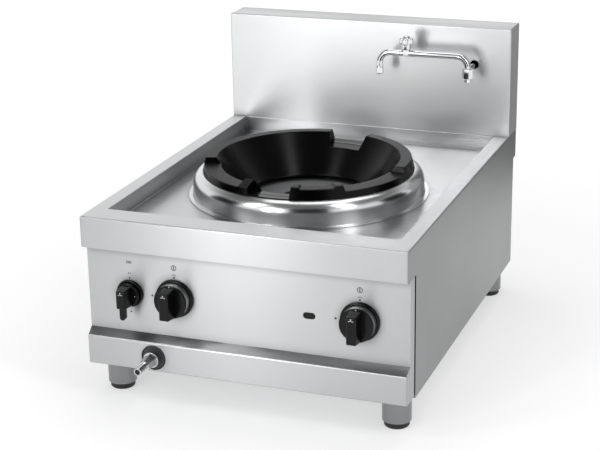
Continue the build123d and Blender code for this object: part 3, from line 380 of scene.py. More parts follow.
PANEL_Y = -342.5
KICK_Y = -359.5
CASING_REAR = -318.5
CASING_HALF = 298.5
LEDGE_TOP = 129
LEDGE_FOOT = 118
CASING_FOOT = 64
CASING_FOLD_R = 2
CONTROL_Z = 202
LEVER_X = -217.5
KNOB_X = {"left": -131.2, "right": 210}
SPINDLE_HOLE = 7
DRAIN = (-170, 90.5)
DRAIN_HOLE = 23.5
SLOT = (119, 200.5)
SLOT_R = 6
SLOT_REACH = 5.25
CUT_DEPTH = 20


def hole_cutter(radius, x, y, z, segments=96):
    """Round bar that cuts a hole in a panel."""
    bm = bmesh.new()
    rod(bm, radius, CUT_DEPTH, (x, y, z), segments, axis="Y")
    return new_object("cutter", bm)


bm = bmesh.new()
section = [
    (PANEL_Y, SKIRT_Z), (PANEL_Y, LEDGE_TOP), (KICK_Y, LEDGE_FOOT), (KICK_Y, CASING_FOOT),
    (CASING_REAR, CASING_FOOT), (CASING_REAR, SKIRT_Z),
]
face = bm.faces.new([bm.verts.new((-CASING_HALF, y, z)) for y, z in section])
sides = bmesh.ops.extrude_face_region(bm, geom=[face])
bmesh.ops.translate(bm, vec=(2 * CASING_HALF, 0, 0), verts=new_verts(sides))
bmesh.ops.recalc_face_normals(bm, faces=bm.faces)
bmesh.ops.delete(bm, geom=[f for f in bm.faces if f.normal.y > 0.9], context="FACES")
folds = [e for e in bm.edges if not e.is_boundary and e.verts[0].co.z < SKIRT_Z - 1]
soften(bm, folds, CASING_FOLD_R)
slot_ends = (SLOT[0] - SLOT_REACH, SLOT[0] + SLOT_REACH)
holes = [hole_cutter(SPINDLE_HOLE, x, PANEL_Y, CONTROL_Z) for x in (LEVER_X, *KNOB_X.values())]
holes.append(hole_cutter(DRAIN_HOLE, DRAIN[0], KICK_Y, DRAIN[1]))
holes += [hole_cutter(SLOT_R, x, PANEL_Y, SLOT[1], segments=48) for x in slot_ends]
slot_bar = bmesh.new()
block(
    slot_bar,
    (slot_ends[0], PANEL_Y - CUT_DEPTH / 2, SLOT[1] - SLOT_R),
    (slot_ends[1], PANEL_Y + CUT_DEPTH / 2, SLOT[1] + SLOT_R),
)
holes.append(new_object("cutter", slot_bar))
casing = make_piece("front_casing_sheet", bm, steel_across, wall=SHEET, cutters=holes)
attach(casing, "cabinet")
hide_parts("front_casing")

# Hot-dip galvanised sheet: dull zinc in pale and dark crystals.
SPANGLE = 11.1

galvanised, tree, output = new_material("galvanised_sheet")
place = add_node(tree, "ShaderNodeTexCoord").outputs["Object"]
flakes = add_node(
    tree, "ShaderNodeTexVoronoi", {"Vector": place, "Scale": 1000 / SPANGLE, "Randomness": 1}
)
spangle = add_node(
    tree,
    "ShaderNodeMix",
    {"Factor": flakes.outputs["Color"], 6: linear("#9fa4a6"), 7: linear("#b9bdbe")},
    data_type="RGBA",
)
zinc = add_node(
    tree,
    "ShaderNodeBsdfPrincipled",
    {"Base Color": spangle.outputs[2], "Metallic": 0.9, "Roughness": 0.42},
)
tree.links.new(zinc.outputs[0], output.inputs[0])
# The side panels take the darkest copy of the steel, as painted shade.
finish_node("side_panel_left", steel_back)
finish_node("side_panel_right", steel_back)
finish_node("rear_panel", galvanised)
finish_node("base_tray", galvanised)


# ---- Legs and levelling feet ----
# Polished steel tubes with welded top plates stand under the cabinet. The feet are black polyamide
# on threaded stems, which screw out to level it.

LEGS = {
    "front_left": (-263, -301.5),
    "front_right": (263, -301.5),
    "rear_left": (-263, 353.5),
    "rear_right": (263, 353.5),
}

# Patches that a buffing wheel leaves in the gloss, and the texture of a moulding tool. Both are
# coarser than the real ones, which wouldn't show.
BUFFED_PATCH = 16.7
TOOL_GRIT = 1.11


def polished_metal(name, colour, rough, smear=0.03):
    """Bright metal, buffed or plated, with faint uneven gloss."""
    material, tree, output = new_material(name)
    place = add_node(tree, "ShaderNodeTexCoord").outputs["Object"]
    haze = add_node(
        tree, "ShaderNodeTexNoise", {"Vector": place, "Scale": 1000 / BUFFED_PATCH, "Detail": 4}
    )
    gloss = add_node(
        tree,
        "ShaderNodeMapRange",
        {"Value": haze.outputs[0], 1: 0.3, 2: 0.7, 3: rough, 4: rough + smear},
    )
    metal = add_node(
        tree,
        "ShaderNodeBsdfPrincipled",
        {"Base Color": linear(colour), "Metallic": 1, "Roughness": gloss.outputs[0]},
    )
    tree.links.new(metal.outputs[0], output.inputs[0])
    return material


def moulded_plastic(name, colour, rough, grit=TOOL_GRIT, depth=0.2, shine=0.5):
    """Smooth moulding or casting with a fine texture. Its grit and depth are in millimetres."""
    material, tree, output = new_material(name)
    place = add_node(tree, "ShaderNodeTexCoord").outputs["Object"]
    texture = add_node(
        tree, "ShaderNodeTexNoise", {"Vector": place, "Scale": 1000 / grit, "Detail": 2}
    )
    relief = add_node(
        tree,
        "ShaderNodeBump",
        {"Height": texture.outputs[0], "Strength": 0.3, "Distance": depth / 1000},
    )
    gloss = add_node(
        tree,
        "ShaderNodeMapRange",
        {"Value": texture.outputs[0], 1: 0.3, 2: 0.7, 3: rough, 4: rough + 0.06},
    )
    plastic = add_node(
        tree,
        "ShaderNodeBsdfPrincipled",
        {
            "Base Color": linear(colour),
            "Roughness": gloss.outputs[0],
            "IOR": 1.5,
            "Specular IOR Level": shine,
            "Normal": relief.outputs[0],
        },
    )
    tree.links.new(plastic.outputs[0], output.inputs[0])
    return material


def turned(bm, profile, centre, axis="Z", rounds=None, steps=96, closed=True):
    """Adds a profile of radius and height spun round an axis. Rounds are radii by corner."""
    part = bmesh.new()
    wire = [part.verts.new((radius, 0, height)) for radius, height in profile]
    for pair in list(zip(wire, wire[1:])) + ([(wire[-1], wire[0])] if closed else []):
        part.edges.new(pair)
    for corner, radius in (rounds or {}).items():
        here = Vector(profile[corner])
        before = (Vector(profile[corner - 1]) - here).normalized()
        after = (Vector(profile[(corner + 1) % len(profile)]) - here).normalized()
        bmesh.ops.bevel(
            part,
            geom=[wire[corner]],
            offset=radius / math.tan(before.angle(after) / 2),
            segments=8,
            profile=0.5,
            affect="VERTICES",
            material=-1,
        )
    bmesh.ops.spin(
        part,
        geom=part.verts[:] + part.edges[:],
        cent=(0, 0, 0),
        axis=(0, 0, 1),
        angle=2 * math.pi,
        steps=steps,
        use_merge=True,
    )
    bmesh.ops.remove_doubles(part, verts=part.verts, dist=0.001)
    bmesh.ops.recalc_face_normals(part, faces=part.faces)
    if axis == "Y":
        backwards = Matrix.Rotation(-math.pi / 2, 3, "X")
        bmesh.ops.rotate(part, cent=(0, 0, 0), matrix=backwards, verts=part.verts)
    bmesh.ops.translate(part, vec=centre, verts=part.verts)
    turned_mesh = bpy.data.meshes.new("turned")
    part.to_mesh(turned_mesh)
    part.free()
    bm.from_mesh(turned_mesh)
    bpy.data.meshes.remove(turned_mesh)


leg_steel = polished_metal("polished_steel_tube", "#8b8d8e", 0.25)
foot_plastic = moulded_plastic("polyamide_foot", "#17181a", 0.45)

bm = bmesh.new()
tube = [(26, 60.9), (26, 11.8), (25.2, 11), (24.5, 11), (24.5, 58), (6.5, 58), (6.5, 60.9)]
for x, y in LEGS.values():
    turned(bm, tube, (x, y, 0))
legs = make_piece("leg_tubes_polished", bm, leg_steel)
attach(legs, "cabinet")
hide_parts("leg_tubes")

FOOT = [(0, 0), (20.5, 0), (22.5, 2), (22.5, 17), (14.5, 22), (5.7, 22), (5.7, 78), (5, 79), (0, 79)]
for name, (x, y) in LEGS.items():
    bm = bmesh.new()
    turned(bm, FOOT, (x, y, 0), rounds={2: 2, 3: 2, 4: 1}, closed=False)
    foot = make_piece(f"foot_{name}_moulded", bm, foot_plastic)
    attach(foot, f"foot_{name}")
    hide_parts(f"foot_{name}")


# ---- Burner collar ----
# Spun on a lathe from stainless sheet, so its gloss runs in fine rings. It stands loose
# in the basin round the burner opening.

TURNING_MARK = 1.43


def spun_steel(name, colour, rough, anisotropic=0.7):
    """Steel finished on a lathe: fine rings round the burner's axis."""
    material, tree, output = new_material(name)
    place = add_node(tree, "ShaderNodeTexCoord").outputs["Object"]
    shift = add_node(
        tree, "ShaderNodeMapping", {"Vector": place, "Location": (0, -BURNER_Y / 1000, 0)}
    )
    parts = add_node(tree, "ShaderNodeSeparateXYZ", {0: shift.outputs[0]})
    flat = add_node(tree, "ShaderNodeCombineXYZ", {0: parts.outputs[0], 1: parts.outputs[1]})
    reach = add_node(tree, "ShaderNodeVectorMath", {0: flat.outputs[0]}, operation="LENGTH")
    rings = add_node(tree, "ShaderNodeCombineXYZ", {0: reach.outputs["Value"], 1: parts.outputs[2]})
    lathe = add_node(
        tree,
        "ShaderNodeTexNoise",
        {"Vector": rings.outputs[0], "Scale": 1000 / TURNING_MARK, "Detail": 3},
    )
    gloss = add_node(
        tree,
        "ShaderNodeMapRange",
        {"Value": lathe.outputs[0], 1: 0.3, 2: 0.7, 3: rough[0], 4: rough[1]},
    )
    relief = add_node(
        tree, "ShaderNodeBump", {"Height": lathe.outputs[0], "Strength": 0.03, "Distance": 0.0002}
    )
    steel = add_node(
        tree,
        "ShaderNodeBsdfPrincipled",
        {
            "Base Color": linear(colour),
            "Metallic": 1,
            "Roughness": gloss.outputs[0],
            "Anisotropic": anisotropic,
            "Anisotropic Rotation": 0.25,
            "Normal": relief.outputs[0],
        },
    )
    tree.links.new(steel.outputs[0], output.inputs[0])
    return material


spun_stainless = spun_steel("spun_stainless_steel", "#d6d7d8", (0.2, 0.26))

COLLAR = [(226, 311.8), (217.25, 311.8), (215.25, 355.25), (180.75, 355.25), (180.75, 348)]
bm = bmesh.new()
turned(bm, COLLAR, (0, BURNER_Y, 0), rounds={1: 2, 2: 21, 3: 3}, steps=288, closed=False)
collar = make_piece("burner_collar_spun", bm, spun_stainless, wall=SHEET, wall_side=0, edge=0.5)
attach(collar, "burner_collar")
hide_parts("burner_collar")


# ---- Cast wok ring ----
# One iron casting: a bowl for round pans, with a rim that is cut low on both sides and
# open at the front and back. Black enamel inside, the top face ground and left a bare dark grey.

RING_R = 199
RING_LEAN = 6
MOUTH_R = 173
SEAT_R = 176.5
FOOT_R = 121
THROAT_R = 112
RING_TOP = 378.5
RING_BASE = 356
RING_FOOT = 303
SEAT_DEPTH = 5
BOWL_BEND = 335
RIM_ROUND = 2.5
GROUND_FROM = 160
RING_STEPS = 720
LOW = 367.5
LUG = 374.5
NOTCH = 357.5
NOTCH_INNER = 353
FIN_OUTER = 369

# Rim height by angle from the right, seen from above: start, outer height, inner height.
RIM = [
    (-5, RING_TOP, RING_TOP),
    (70, NOTCH, NOTCH_INNER),
    (95, RING_TOP, RING_TOP),
    (200, LOW, LOW),
    (249, FIN_OUTER, RING_TOP),
    (256, NOTCH, NOTCH_INNER),
    (280, RING_TOP, RING_TOP),
    (285, LUG, LUG),
    (304, RING_TOP, RING_TOP),
    (309, LOW, LOW),
    (355, RING_TOP, RING_TOP),
]
STEP_WIDTH = 0.9


def rim_height(angle):
    """Outer and inner rim height at an angle, with short steep steps between sectors."""
    angle = (angle + 5) % 360 - 5
    heights = RIM[0][1:]
    for start, outer_z, inner_z in RIM[1:]:
        share = min(1, max(0, (angle - start) / STEP_WIDTH + 0.5))
        share = share * share * (3 - 2 * share)
        heights = (
            heights[0] + (outer_z - heights[0]) * share, heights[1] + (inner_z - heights[1]) * share
        )
    return heights


def bowl_radius(z):
    """Radius of the bowl's inner face at a height."""
    return THROAT_R + (MOUTH_R - THROAT_R) * (z - RING_FOOT) / (RING_TOP - RING_FOOT)


def wall_radius(z):
    """Radius of the leaning outer wall at a height."""
    return RING_R - RING_LEAN * (z - RING_BASE) / (RING_TOP - RING_BASE)


bm = bmesh.new()
ring_profile = [
    (THROAT_R, RING_FOOT), (FOOT_R, RING_FOOT), (SEAT_R, RING_BASE - SEAT_DEPTH),
    (SEAT_R, RING_BASE), (RING_R, RING_BASE), (RING_R - RING_LEAN, RING_TOP), (MOUTH_R, RING_TOP),
    (bowl_radius(BOWL_BEND), BOWL_BEND),
]
ring_rounds = {0: 3, 1: 2, 5: RIM_ROUND, 6: RIM_ROUND}
turned(bm, ring_profile, (0, 0, 0), rounds=ring_rounds, steps=RING_STEPS)
for vert in bm.verts:
    if vert.co.z < RING_TOP - 2 * RIM_ROUND:
        continue
    angle = math.degrees(math.atan2(vert.co.y, vert.co.x))
    outer_z, inner_z = rim_height(angle)
    reach = math.hypot(vert.co.x, vert.co.y)
    if reach > (RING_R + MOUTH_R) / 2:
        corner = (wall_radius(RING_TOP), RING_TOP)
        target = (wall_radius(outer_z), outer_z)
    else:
        corner = (bowl_radius(RING_TOP), RING_TOP)
        target = (bowl_radius(inner_z), inner_z)
    new_reach = target[0] + reach - corner[0]
    vert.co.x *= new_reach / reach
    vert.co.y *= new_reach / reach
    vert.co.z += target[1] - corner[1]
bmesh.ops.translate(bm, vec=(0, BURNER_Y, 0), verts=bm.verts)

# Glass enamel on sand-cast iron: deep black, glossy, and slightly uneven from the sand below it.
SAND = 2.86
ENAMEL_WAVE = 35.7

black_iron, tree, output = new_material("enamelled_cast_iron")
place = add_node(tree, "ShaderNodeTexCoord").outputs["Object"]
sand = add_node(tree, "ShaderNodeTexNoise", {"Vector": place, "Scale": 1000 / SAND, "Detail": 5})
waves = add_node(
    tree, "ShaderNodeTexNoise", {"Vector": place, "Scale": 1000 / ENAMEL_WAVE, "Detail": 2}
)
tone = add_node(
    tree,
    "ShaderNodeMix",
    {"Factor": waves.outputs[0], 6: linear("#020202"), 7: linear("#050505")},
    data_type="RGBA",
)
gloss = add_node(
    tree, "ShaderNodeMapRange", {"Value": sand.outputs[0], 1: 0.3, 2: 0.7, 3: 0.18, 4: 0.28}
)
relief = add_node(
    tree, "ShaderNodeBump", {"Height": sand.outputs[0], "Strength": 0.25, "Distance": 0.0004}
)
enamel = add_node(
    tree,
    "ShaderNodeBsdfPrincipled",
    {
        "Base Color": tone.outputs[2],
        "Roughness": gloss.outputs[0],
        "IOR": 1.5,
        "Specular IOR Level": 0.14,
        "Normal": relief.outputs[0],
    },
)
tree.links.new(enamel.outputs[0], output.inputs[0])

# Ground iron without enamel: flat dark grey with a fine grit.
GRIT = 2

ground_iron, tree, output = new_material("ground_cast_iron")
place = add_node(tree, "ShaderNodeTexCoord").outputs["Object"]
sand = add_node(tree, "ShaderNodeTexNoise", {"Vector": place, "Scale": 1000 / GRIT, "Detail": 5})
tone = add_node(
    tree,
    "ShaderNodeMix",
    {"Factor": sand.outputs[0], 6: linear("#101011"), 7: linear("#1a1a1b")},
    data_type="RGBA",
)
relief = add_node(
    tree, "ShaderNodeBump", {"Height": sand.outputs[0], "Strength": 0.2, "Distance": 0.0003}
)
iron = add_node(
    tree,
    "ShaderNodeBsdfPrincipled",
    {
        "Base Color": tone.outputs[2],
        "Roughness": 0.42,
        "Specular IOR Level": 0.2,
        "Normal": relief.outputs[0],
    },
)
tree.links.new(iron.outputs[0], output.inputs[0])

wok_ring = make_piece("wok_ring_cast", bm, black_iron, sharp=40)
wok_ring.data.materials.append(ground_iron)
for face in wok_ring.data.polygons:
    x, y, z = face.center * 1000
    if z > LOW - 1 and face.normal.z > 0.5 and math.hypot(x, y - BURNER_Y) > GROUND_FROM:
        face.material_index = 1
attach(wok_ring, "wok_ring")
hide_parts("wok_ring")


# ---- Burner well, plate and burner ----
# A deep-drawn steel well hangs under the opening. A plate in it shows through the ring's
# throat, with the cast burner head and its brass cap in the middle.

plate_steel = spun_steel("pickled_plate_steel", "#a9abac", (0.38, 0.5), anisotropic=0.2)
brass = polished_metal("turned_brass", "#b8924a", 0.3)
dark_iron = moulded_plastic("burner_cast_iron", "#2a2a2b", 0.55, grit=2, depth=0.5)

bm = bmesh.new()
well = [(186, 308.75), (168.75, 308.75), (160, 233.25), (66.75, 233.25), (66.75, 242.5)]
turned(bm, well, (0, BURNER_Y, 0), rounds={1: 2, 2: 2, 3: 2}, steps=192, closed=False)
burner_well = make_piece("burner_well_drawn", bm, plate_steel, wall=SHEET, wall_side=0)
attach(burner_well, "cabinet")
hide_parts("burner_well")

bm = bmesh.new()
plate = [(58, 295.25), (150, 295.25), (150, 234)]
turned(bm, plate, (0, BURNER_Y, 0), rounds={1: 4}, steps=192, closed=False)
burner_plate = make_piece("burner_plate_pressed", bm, plate_steel, wall=SHEET, wall_side=0)
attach(burner_plate, "cabinet")
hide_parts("burner_plate")

bm = bmesh.new()
cap = [(0, 292), (32, 292), (32, 296), (28, 300), (20, 302.6), (10, 303.8), (0, 304)]
turned(bm, cap, (0, BURNER_Y, 0), rounds={2: 1, 3: 8, 4: 20}, closed=False)
burner_cap = make_piece("burner_cap_turned", bm, brass)
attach(burner_cap, "cabinet")
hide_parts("burner_cap")

finish_node("burner_head", dark_iron)
for node in ("mixing_tubes", "burner_bracket"):
    finish_node(node, galvanised)
for node in (
    "injectors", "gas_tap_left", "gas_tap_right", "tap_plunger_left", "tap_plunger_right",
    "water_valve_body",
):
    finish_node(node, brass)

pipe_steel = polished_metal("galvanised_pipe", "#8d9092", 0.4)
copper = polished_metal("copper_pipe", "#b8704a", 0.28)
spindle_steel = polished_metal("ground_steel_rod", "#b5b7b8", 0.25)
for node in ("gas_manifold", "water_inlet_pipe", "water_feed_pipe"):
    finish_node(node, pipe_steel)
for node in ("injector_pipe_left", "injector_pipe_right", "pilot_pipe", "thermocouple_lead"):
    finish_node(node, copper)
for node in (
    "tap_spindle_left", "tap_spindle_right", "water_valve_spindle", "pilot_burner", "thermocouple",
):
    finish_node(node, spindle_steel)


# ---- Gas knobs ----
# Glossy black mouldings with a grip bar, each with a silver band round the skirt. They
# turn inside a bezel that is screwed to the panel.

BEZEL_R = 35
BEZEL_HOLE = 31.2
BEZEL_DEPTH = 5
KNOB_R = 30.5
BAND_IN = 29.3
SHELL_IN = 27.3
HUB_R = 8
SPINDLE_R = 4
KNOB_REAR = -346.5
BAND_FRONT = -361
FACE_Y = -365
GRIP_TOP = -392
GRIP_FOOT_HALF = 10.5
GRIP_HALF = 8.75
GRIP_LENGTH = 56
GRIP_ROUND = 2.2
DRAFT = 3.5
MARK_THICK = 0.15
MARK_PROUD = 0.03
PANEL_MARK_Y = PANEL_Y - 0.05

black_plastic = moulded_plastic("phenolic_black", "#040405", 0.16, depth=0.05, shine=0.25)
silver = polished_metal("silver_foil_band", "#d8d9da", 0.3)
white_paint = moulded_plastic("white_marking_ink", "#e6e6e6", 0.5)
dark_ink = moulded_plastic("dark_marking_ink", "#111213", 0.5)


def bezel(name, x, outer, inner):
    """Ring screwed to the panel."""
    bm = bmesh.new()
    rim = [(outer, 0), (outer, -BEZEL_DEPTH), (inner, -BEZEL_DEPTH), (inner, 0)]
    turned(bm, rim, (x, PANEL_Y, CONTROL_Z), axis="Y", rounds={1: 2, 2: 0.6}, steps=128)
    piece = make_piece(f"bezel_{name}", bm, black_plastic)
    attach(piece, "cabinet")
    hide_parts(f"knob_bezel_{name}")


def grip(bm, x, rear, front, foot_half, top_half, foot_ends, top_ends):
    """Drafted bar: half widths, and lower and upper ends, at the foot and at the top."""
    verts = block(bm, (-1, front, -1), (1, rear, 1))
    for vert in verts:
        at_top = abs(vert.co.y - front) < 0.01
        half = top_half if at_top else foot_half
        low, high = top_ends if at_top else foot_ends
        vert.co.x = half * (1 if vert.co.x > 0 else -1)
        vert.co.z = high if vert.co.z > 0 else low
    bmesh.ops.translate(bm, vec=(x, 0, CONTROL_Z), verts=verts)
    edges = [e for e in edges_of(verts) if any(abs(v.co.y - rear) > 0.01 for v in e.verts)]
    soften(bm, edges, GRIP_ROUND, 5)


def mark_disc(bm, radius, x, y, z):
    """Printed dot on a face that looks forwards."""
    rod(bm, radius, MARK_THICK, (x, y, z), segments=32, axis="Y")


def mark_arc(bm, inner, outer, x, y, z, start=0, end=360):
    """Printed ring or part of one, from start to end in degrees, on a face that looks forwards."""
    steps = max(6, round((end - start) / 9))
    angles = [math.radians(start + (end - start) * i / steps) for i in range(steps + 1)]
    for a, b in zip(angles, angles[1:]):
        # Drawn out backwards, so the first face has to look backwards too.
        corners = [
            bm.verts.new((x + reach * math.cos(c), y - MARK_THICK / 2, z + reach * math.sin(c)))
            for reach, c in ((inner, b), (outer, b), (outer, a), (inner, a))
        ]
        out = bmesh.ops.extrude_face_region(bm, geom=[bm.faces.new(corners)])
        bmesh.ops.translate(bm, vec=(0, MARK_THICK, 0), verts=new_verts(out))


def mark_bar(bm, width, height, x, y, z):
    """Printed upright bar on a face that looks forwards."""
    block(
        bm,
        (x - width / 2, y - MARK_THICK / 2, z - height / 2),
        (x + width / 2, y + MARK_THICK / 2, z + height / 2),
    )


for side, x in KNOB_X.items():
    bezel(side, x, BEZEL_R, BEZEL_HOLE)
    body = f"knob_{side}"
    bm = bmesh.new()
    knob_profile = [
        (SPINDLE_R, BAND_FRONT), (SPINDLE_R, KNOB_REAR), (HUB_R, KNOB_REAR),
        (HUB_R, BAND_FRONT - 1), (SHELL_IN, BAND_FRONT - 1), (SHELL_IN, KNOB_REAR),
        (BAND_IN, KNOB_REAR), (BAND_IN, BAND_FRONT), (KNOB_R, BAND_FRONT), (KNOB_R, FACE_Y),
        (0, FACE_Y), (0, BAND_FRONT),
    ]
    turned(bm, knob_profile, (x, 0, CONTROL_Z), axis="Y", rounds={9: 1.2}, steps=128)
    half_foot = GRIP_LENGTH / 2
    half_top = half_foot - DRAFT
    foot_ends, top_ends = (-half_foot, half_foot), (-half_top, half_top)
    grip(bm, x, FACE_Y + 1, GRIP_TOP, GRIP_FOOT_HALF, GRIP_HALF, foot_ends, top_ends)
    knob = make_piece(f"knob_{side}_moulded", bm, black_plastic)
    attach(knob, body)
    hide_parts(f"knob_{side}")

    bm = bmesh.new()
    band_profile = [
        (BAND_IN, KNOB_REAR), (KNOB_R, KNOB_REAR), (KNOB_R, BAND_FRONT), (BAND_IN, BAND_FRONT),
    ]
    turned(bm, band_profile, (x, 0, CONTROL_Z), axis="Y", steps=128)
    band = make_piece(f"knob_{side}_band", bm, silver)
    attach(band, body)
    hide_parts(f"knob_band_{side}")

    bm = bmesh.new()
    tip_z = CONTROL_Z + half_top
    mark_disc(bm, 1.1, x, GRIP_TOP - MARK_PROUD, tip_z - 2.6)
    mark_arc(bm, 9, 10, x, GRIP_TOP - MARK_PROUD, tip_z - 14.5, 62, 118)
    mark_disc(bm, 1.1, x, FACE_Y - MARK_PROUD, CONTROL_Z + KNOB_R - 1.6)
    marks = make_piece(f"knob_{side}_marks", bm, white_paint)
    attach(marks, body)

    bm = bmesh.new()
    for across, rise in ((0, 38.6), (-43.5, 0)):
        mark_disc(bm, 1.7, x + across, PANEL_MARK_Y, CONTROL_Z + rise)
    mark_arc(bm, 3.9, 5, x, PANEL_MARK_Y, CONTROL_Z + 56.5)
    mark_bar(bm, 1.6, 6, x, PANEL_MARK_Y, CONTROL_Z + 56.5)
    for across in (-2.4, 0, 2.4):
        mark_bar(bm, 1, 2, x + across, PANEL_MARK_Y, CONTROL_Z + 43.5)
    panel_marks = make_piece(f"panel_marks_{side}", bm, dark_ink)
    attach(panel_marks, "cabinet")


# ---- Water lever ----
# The same black moulding, on the water valve's spindle and in a bezel of its own. Its arm points
# down while the water is off.

LEVER_REAR = -346.5
LEVER_FACE = -357.5
LEVER_TOP = -383.5
DISC_R = 21.5
ARM_FRONT = -378.5
ARM_REAR = -369.5
ARM_REACH = 39
ARM_START = 14
ARM_HALF = 5

bezel("lever", LEVER_X, 25, 22.2)
bm = bmesh.new()
disc = [
    (SPINDLE_R, LEVER_FACE), (SPINDLE_R, LEVER_REAR), (DISC_R, LEVER_REAR), (DISC_R, LEVER_FACE),
    (0, LEVER_FACE),
]
turned(bm, disc, (LEVER_X, 0, CONTROL_Z), axis="Y", rounds={3: 2}, steps=128)
grip(bm, LEVER_X, LEVER_FACE + 1, LEVER_TOP, 10.25, 8.5, (-18.5, 18.5), (-16.5, 16.5))
arm_foot = CONTROL_Z - ARM_REACH
arm = block(
    bm,
    (LEVER_X - ARM_HALF, ARM_FRONT, arm_foot),
    (LEVER_X + ARM_HALF, ARM_REAR, CONTROL_Z - ARM_START),
)
arm_edges = [
    e
    for e in edges_of(arm)
    if all(v.co.z < arm_foot + 1 for v in e.verts) and abs(e.verts[0].co.y - e.verts[1].co.y) > 1
]
soften(bm, arm_edges, ARM_HALF - 0.1, 8)
lever = make_piece("water_lever_moulded", bm, black_plastic)
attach(lever, "water_lever")
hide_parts("water_lever")

bm = bmesh.new()
mark_disc(bm, 1, LEVER_X, LEVER_TOP - MARK_PROUD, CONTROL_Z + 13.5)
mark_arc(bm, 7, 7.9, LEVER_X, LEVER_TOP - MARK_PROUD, CONTROL_Z + 3.5, 60, 120)
mark_disc(bm, 0.8, LEVER_X + 15.5, LEVER_FACE - MARK_PROUD, CONTROL_Z)
lever_marks = make_piece("water_lever_marks", bm, white_paint)
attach(lever_marks, "water_lever")

bm = bmesh.new()
for across in (-2.6, 2.6):
    mark_arc(bm, 1.5, 2.4, LEVER_X + across, PANEL_MARK_Y, CONTROL_Z + 58)
for across in (-1.5, 1.5):
    mark_bar(bm, 0.9, 3.4, LEVER_X + across, PANEL_MARK_Y, CONTROL_Z + 37.4)
for rise in (28.3, -35.5):
    mark_disc(bm, 1.4, LEVER_X, PANEL_MARK_Y, CONTROL_Z + rise)
lever_panel_marks = make_piece("panel_marks_lever", bm, dark_ink)
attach(lever_panel_marks, "cabinet")


# ---- Sight glass ----
# A pane of heat-proof glass behind the slot in the panel, to watch the pilot flame. Only a strip
# of it shows, so it keeps the CAD mesh.

pane = moulded_plastic("heat_proof_glass_pane", "#060607", 0.08, depth=0.01, shine=0.3)
finish_node("sight_glass", pane)


# ---- Drain ----
# A turned steel flange with a strainer in the basin. Its plastic pipe ends at a moulded nut in the
# lower panel, which holds a turned tail and a spigot for a hose.

drain_dark = moulded_plastic("polypropylene_grey", "#33363a", 0.4)
turned_steel = polished_metal("turned_steel_fitting", "#cfd0d1", 0.16)

bm = bmesh.new()
flange = [
    (19, BASIN_Z + 1.5), (30, BASIN_Z + 1.5), (30, BASIN_Z), (21.5, BASIN_Z), (21.5, 289),
    (12, 289), (12, 291), (19, 291),
]
turned(bm, flange, (*SINK, 0), rounds={0: 1, 1: 1}, steps=96)
drain_flange = make_piece("drain_flange_turned", bm, turned_steel)
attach(drain_flange, "cabinet")
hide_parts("drain_flange")
finish_node("drain_strainer", turned_steel)
finish_node("drain_pipe", drain_dark)

bm = bmesh.new()
nut = [(22.5, -358.5), (22.5, -344.5), (10, -344.5), (10, -358.5)]
turned(bm, nut, (DRAIN[0], 0, DRAIN[1]), axis="Y", rounds={0: 1.5}, steps=96)
drain_nut = make_piece("drain_nut_moulded", bm, drain_dark)
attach(drain_nut, "cabinet")
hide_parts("drain_nut")

bm = bmesh.new()
tail = [(0, -344.5), (10, -344.5), (10, -369.5), (14.5, -369.5), (14.5, -372), (0, -372)]
tail_rounds = {3: 0.6, 4: 0.6}
turned(bm, tail, (DRAIN[0], 0, DRAIN[1]), axis="Y", rounds=tail_rounds, steps=96, closed=False)
spigot = [
    (0, -398), (6.5, -398), (6.5, -410.5), (7, -411), (7, -425.5), (5, -425.5), (5, -396),
    (0, -396),
]
turned(bm, spigot, (DRAIN[0], 0, DRAIN[1]), axis="Y", rounds={4: 0.6}, steps=64)
hexagon = rod(bm, 13.5, 26.5, (DRAIN[0], -385.25, DRAIN[1]), segments=6, axis="Y", tip=10)
soften(bm, edges_of(hexagon), 0.6, 3)
drain_tail = make_piece("drain_tail_turned", bm, turned_steel, sharp=45)
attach(drain_tail, "cabinet")
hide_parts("drain_tail")


# ---- Swivel spout ----
# Chromed brass: a faceted swivel on a stub from the splashback, a pipe with two bends, a
# nozzle, and a stop valve with a lobed handle on the level run.

SPOUT_X = 226
SPOUT_Y = 292.5
SWIVEL_Z = 482
SWIVEL_NUT_Z = 468
STUB_Z = 488
PIPE_R = 6.25
PIPE_Z = 515
PIPE_FOOT = 478
NOZZLE_X = 45
NOZZLE_TOP = 486
STOP_X = 100
BEND = 22

chrome = polished_metal("chrome_plate", "#dcdddf", 0.05, smear=0.02)

bm = bmesh.new()
swivel_centre = (SPOUT_X, SPOUT_Y, SWIVEL_Z)
barrel = rod(bm, 10.75, 20, swivel_centre, segments=6)
quarter_turn = Matrix.Rotation(math.pi / 2, 3, "Z")
bmesh.ops.rotate(bm, cent=swivel_centre, matrix=quarter_turn, verts=barrel)
soften(bm, edges_of(barrel), 1, 3)
nut = rod(bm, 6.75, 8.5, (SPOUT_X, SPOUT_Y, SWIVEL_NUT_Z), segments=6)
soften(bm, edges_of(nut), 0.7, 3)
swivel = make_piece("swivel_body_chromed", bm, chrome, sharp=45)
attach(swivel, "cabinet")
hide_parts("swivel_body")

bm = bmesh.new()
splash_y = SPLASH_LOW[1]
stub = [(0, 300), (5, 300), (5, splash_y), (9, splash_y), (9, 356), (0, 356)]
turned(bm, stub, (SPOUT_X, 0, STUB_Z), axis="Y", steps=64, closed=False)
fitting = make_piece("spout_wall_fitting_chromed", bm, chrome)
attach(fitting, "cabinet")
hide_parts("spout_wall_fitting")


def extrude_ring(bm, edges, vec):
    """Extrudes an open ring of edges along a vector and returns its new edges."""
    out = bmesh.ops.extrude_edge_only(bm, edges=edges)
    bmesh.ops.translate(bm, vec=vec, verts=new_verts(out))
    return [g for g in out["geom"] if isinstance(g, bmesh.types.BMEdge)]


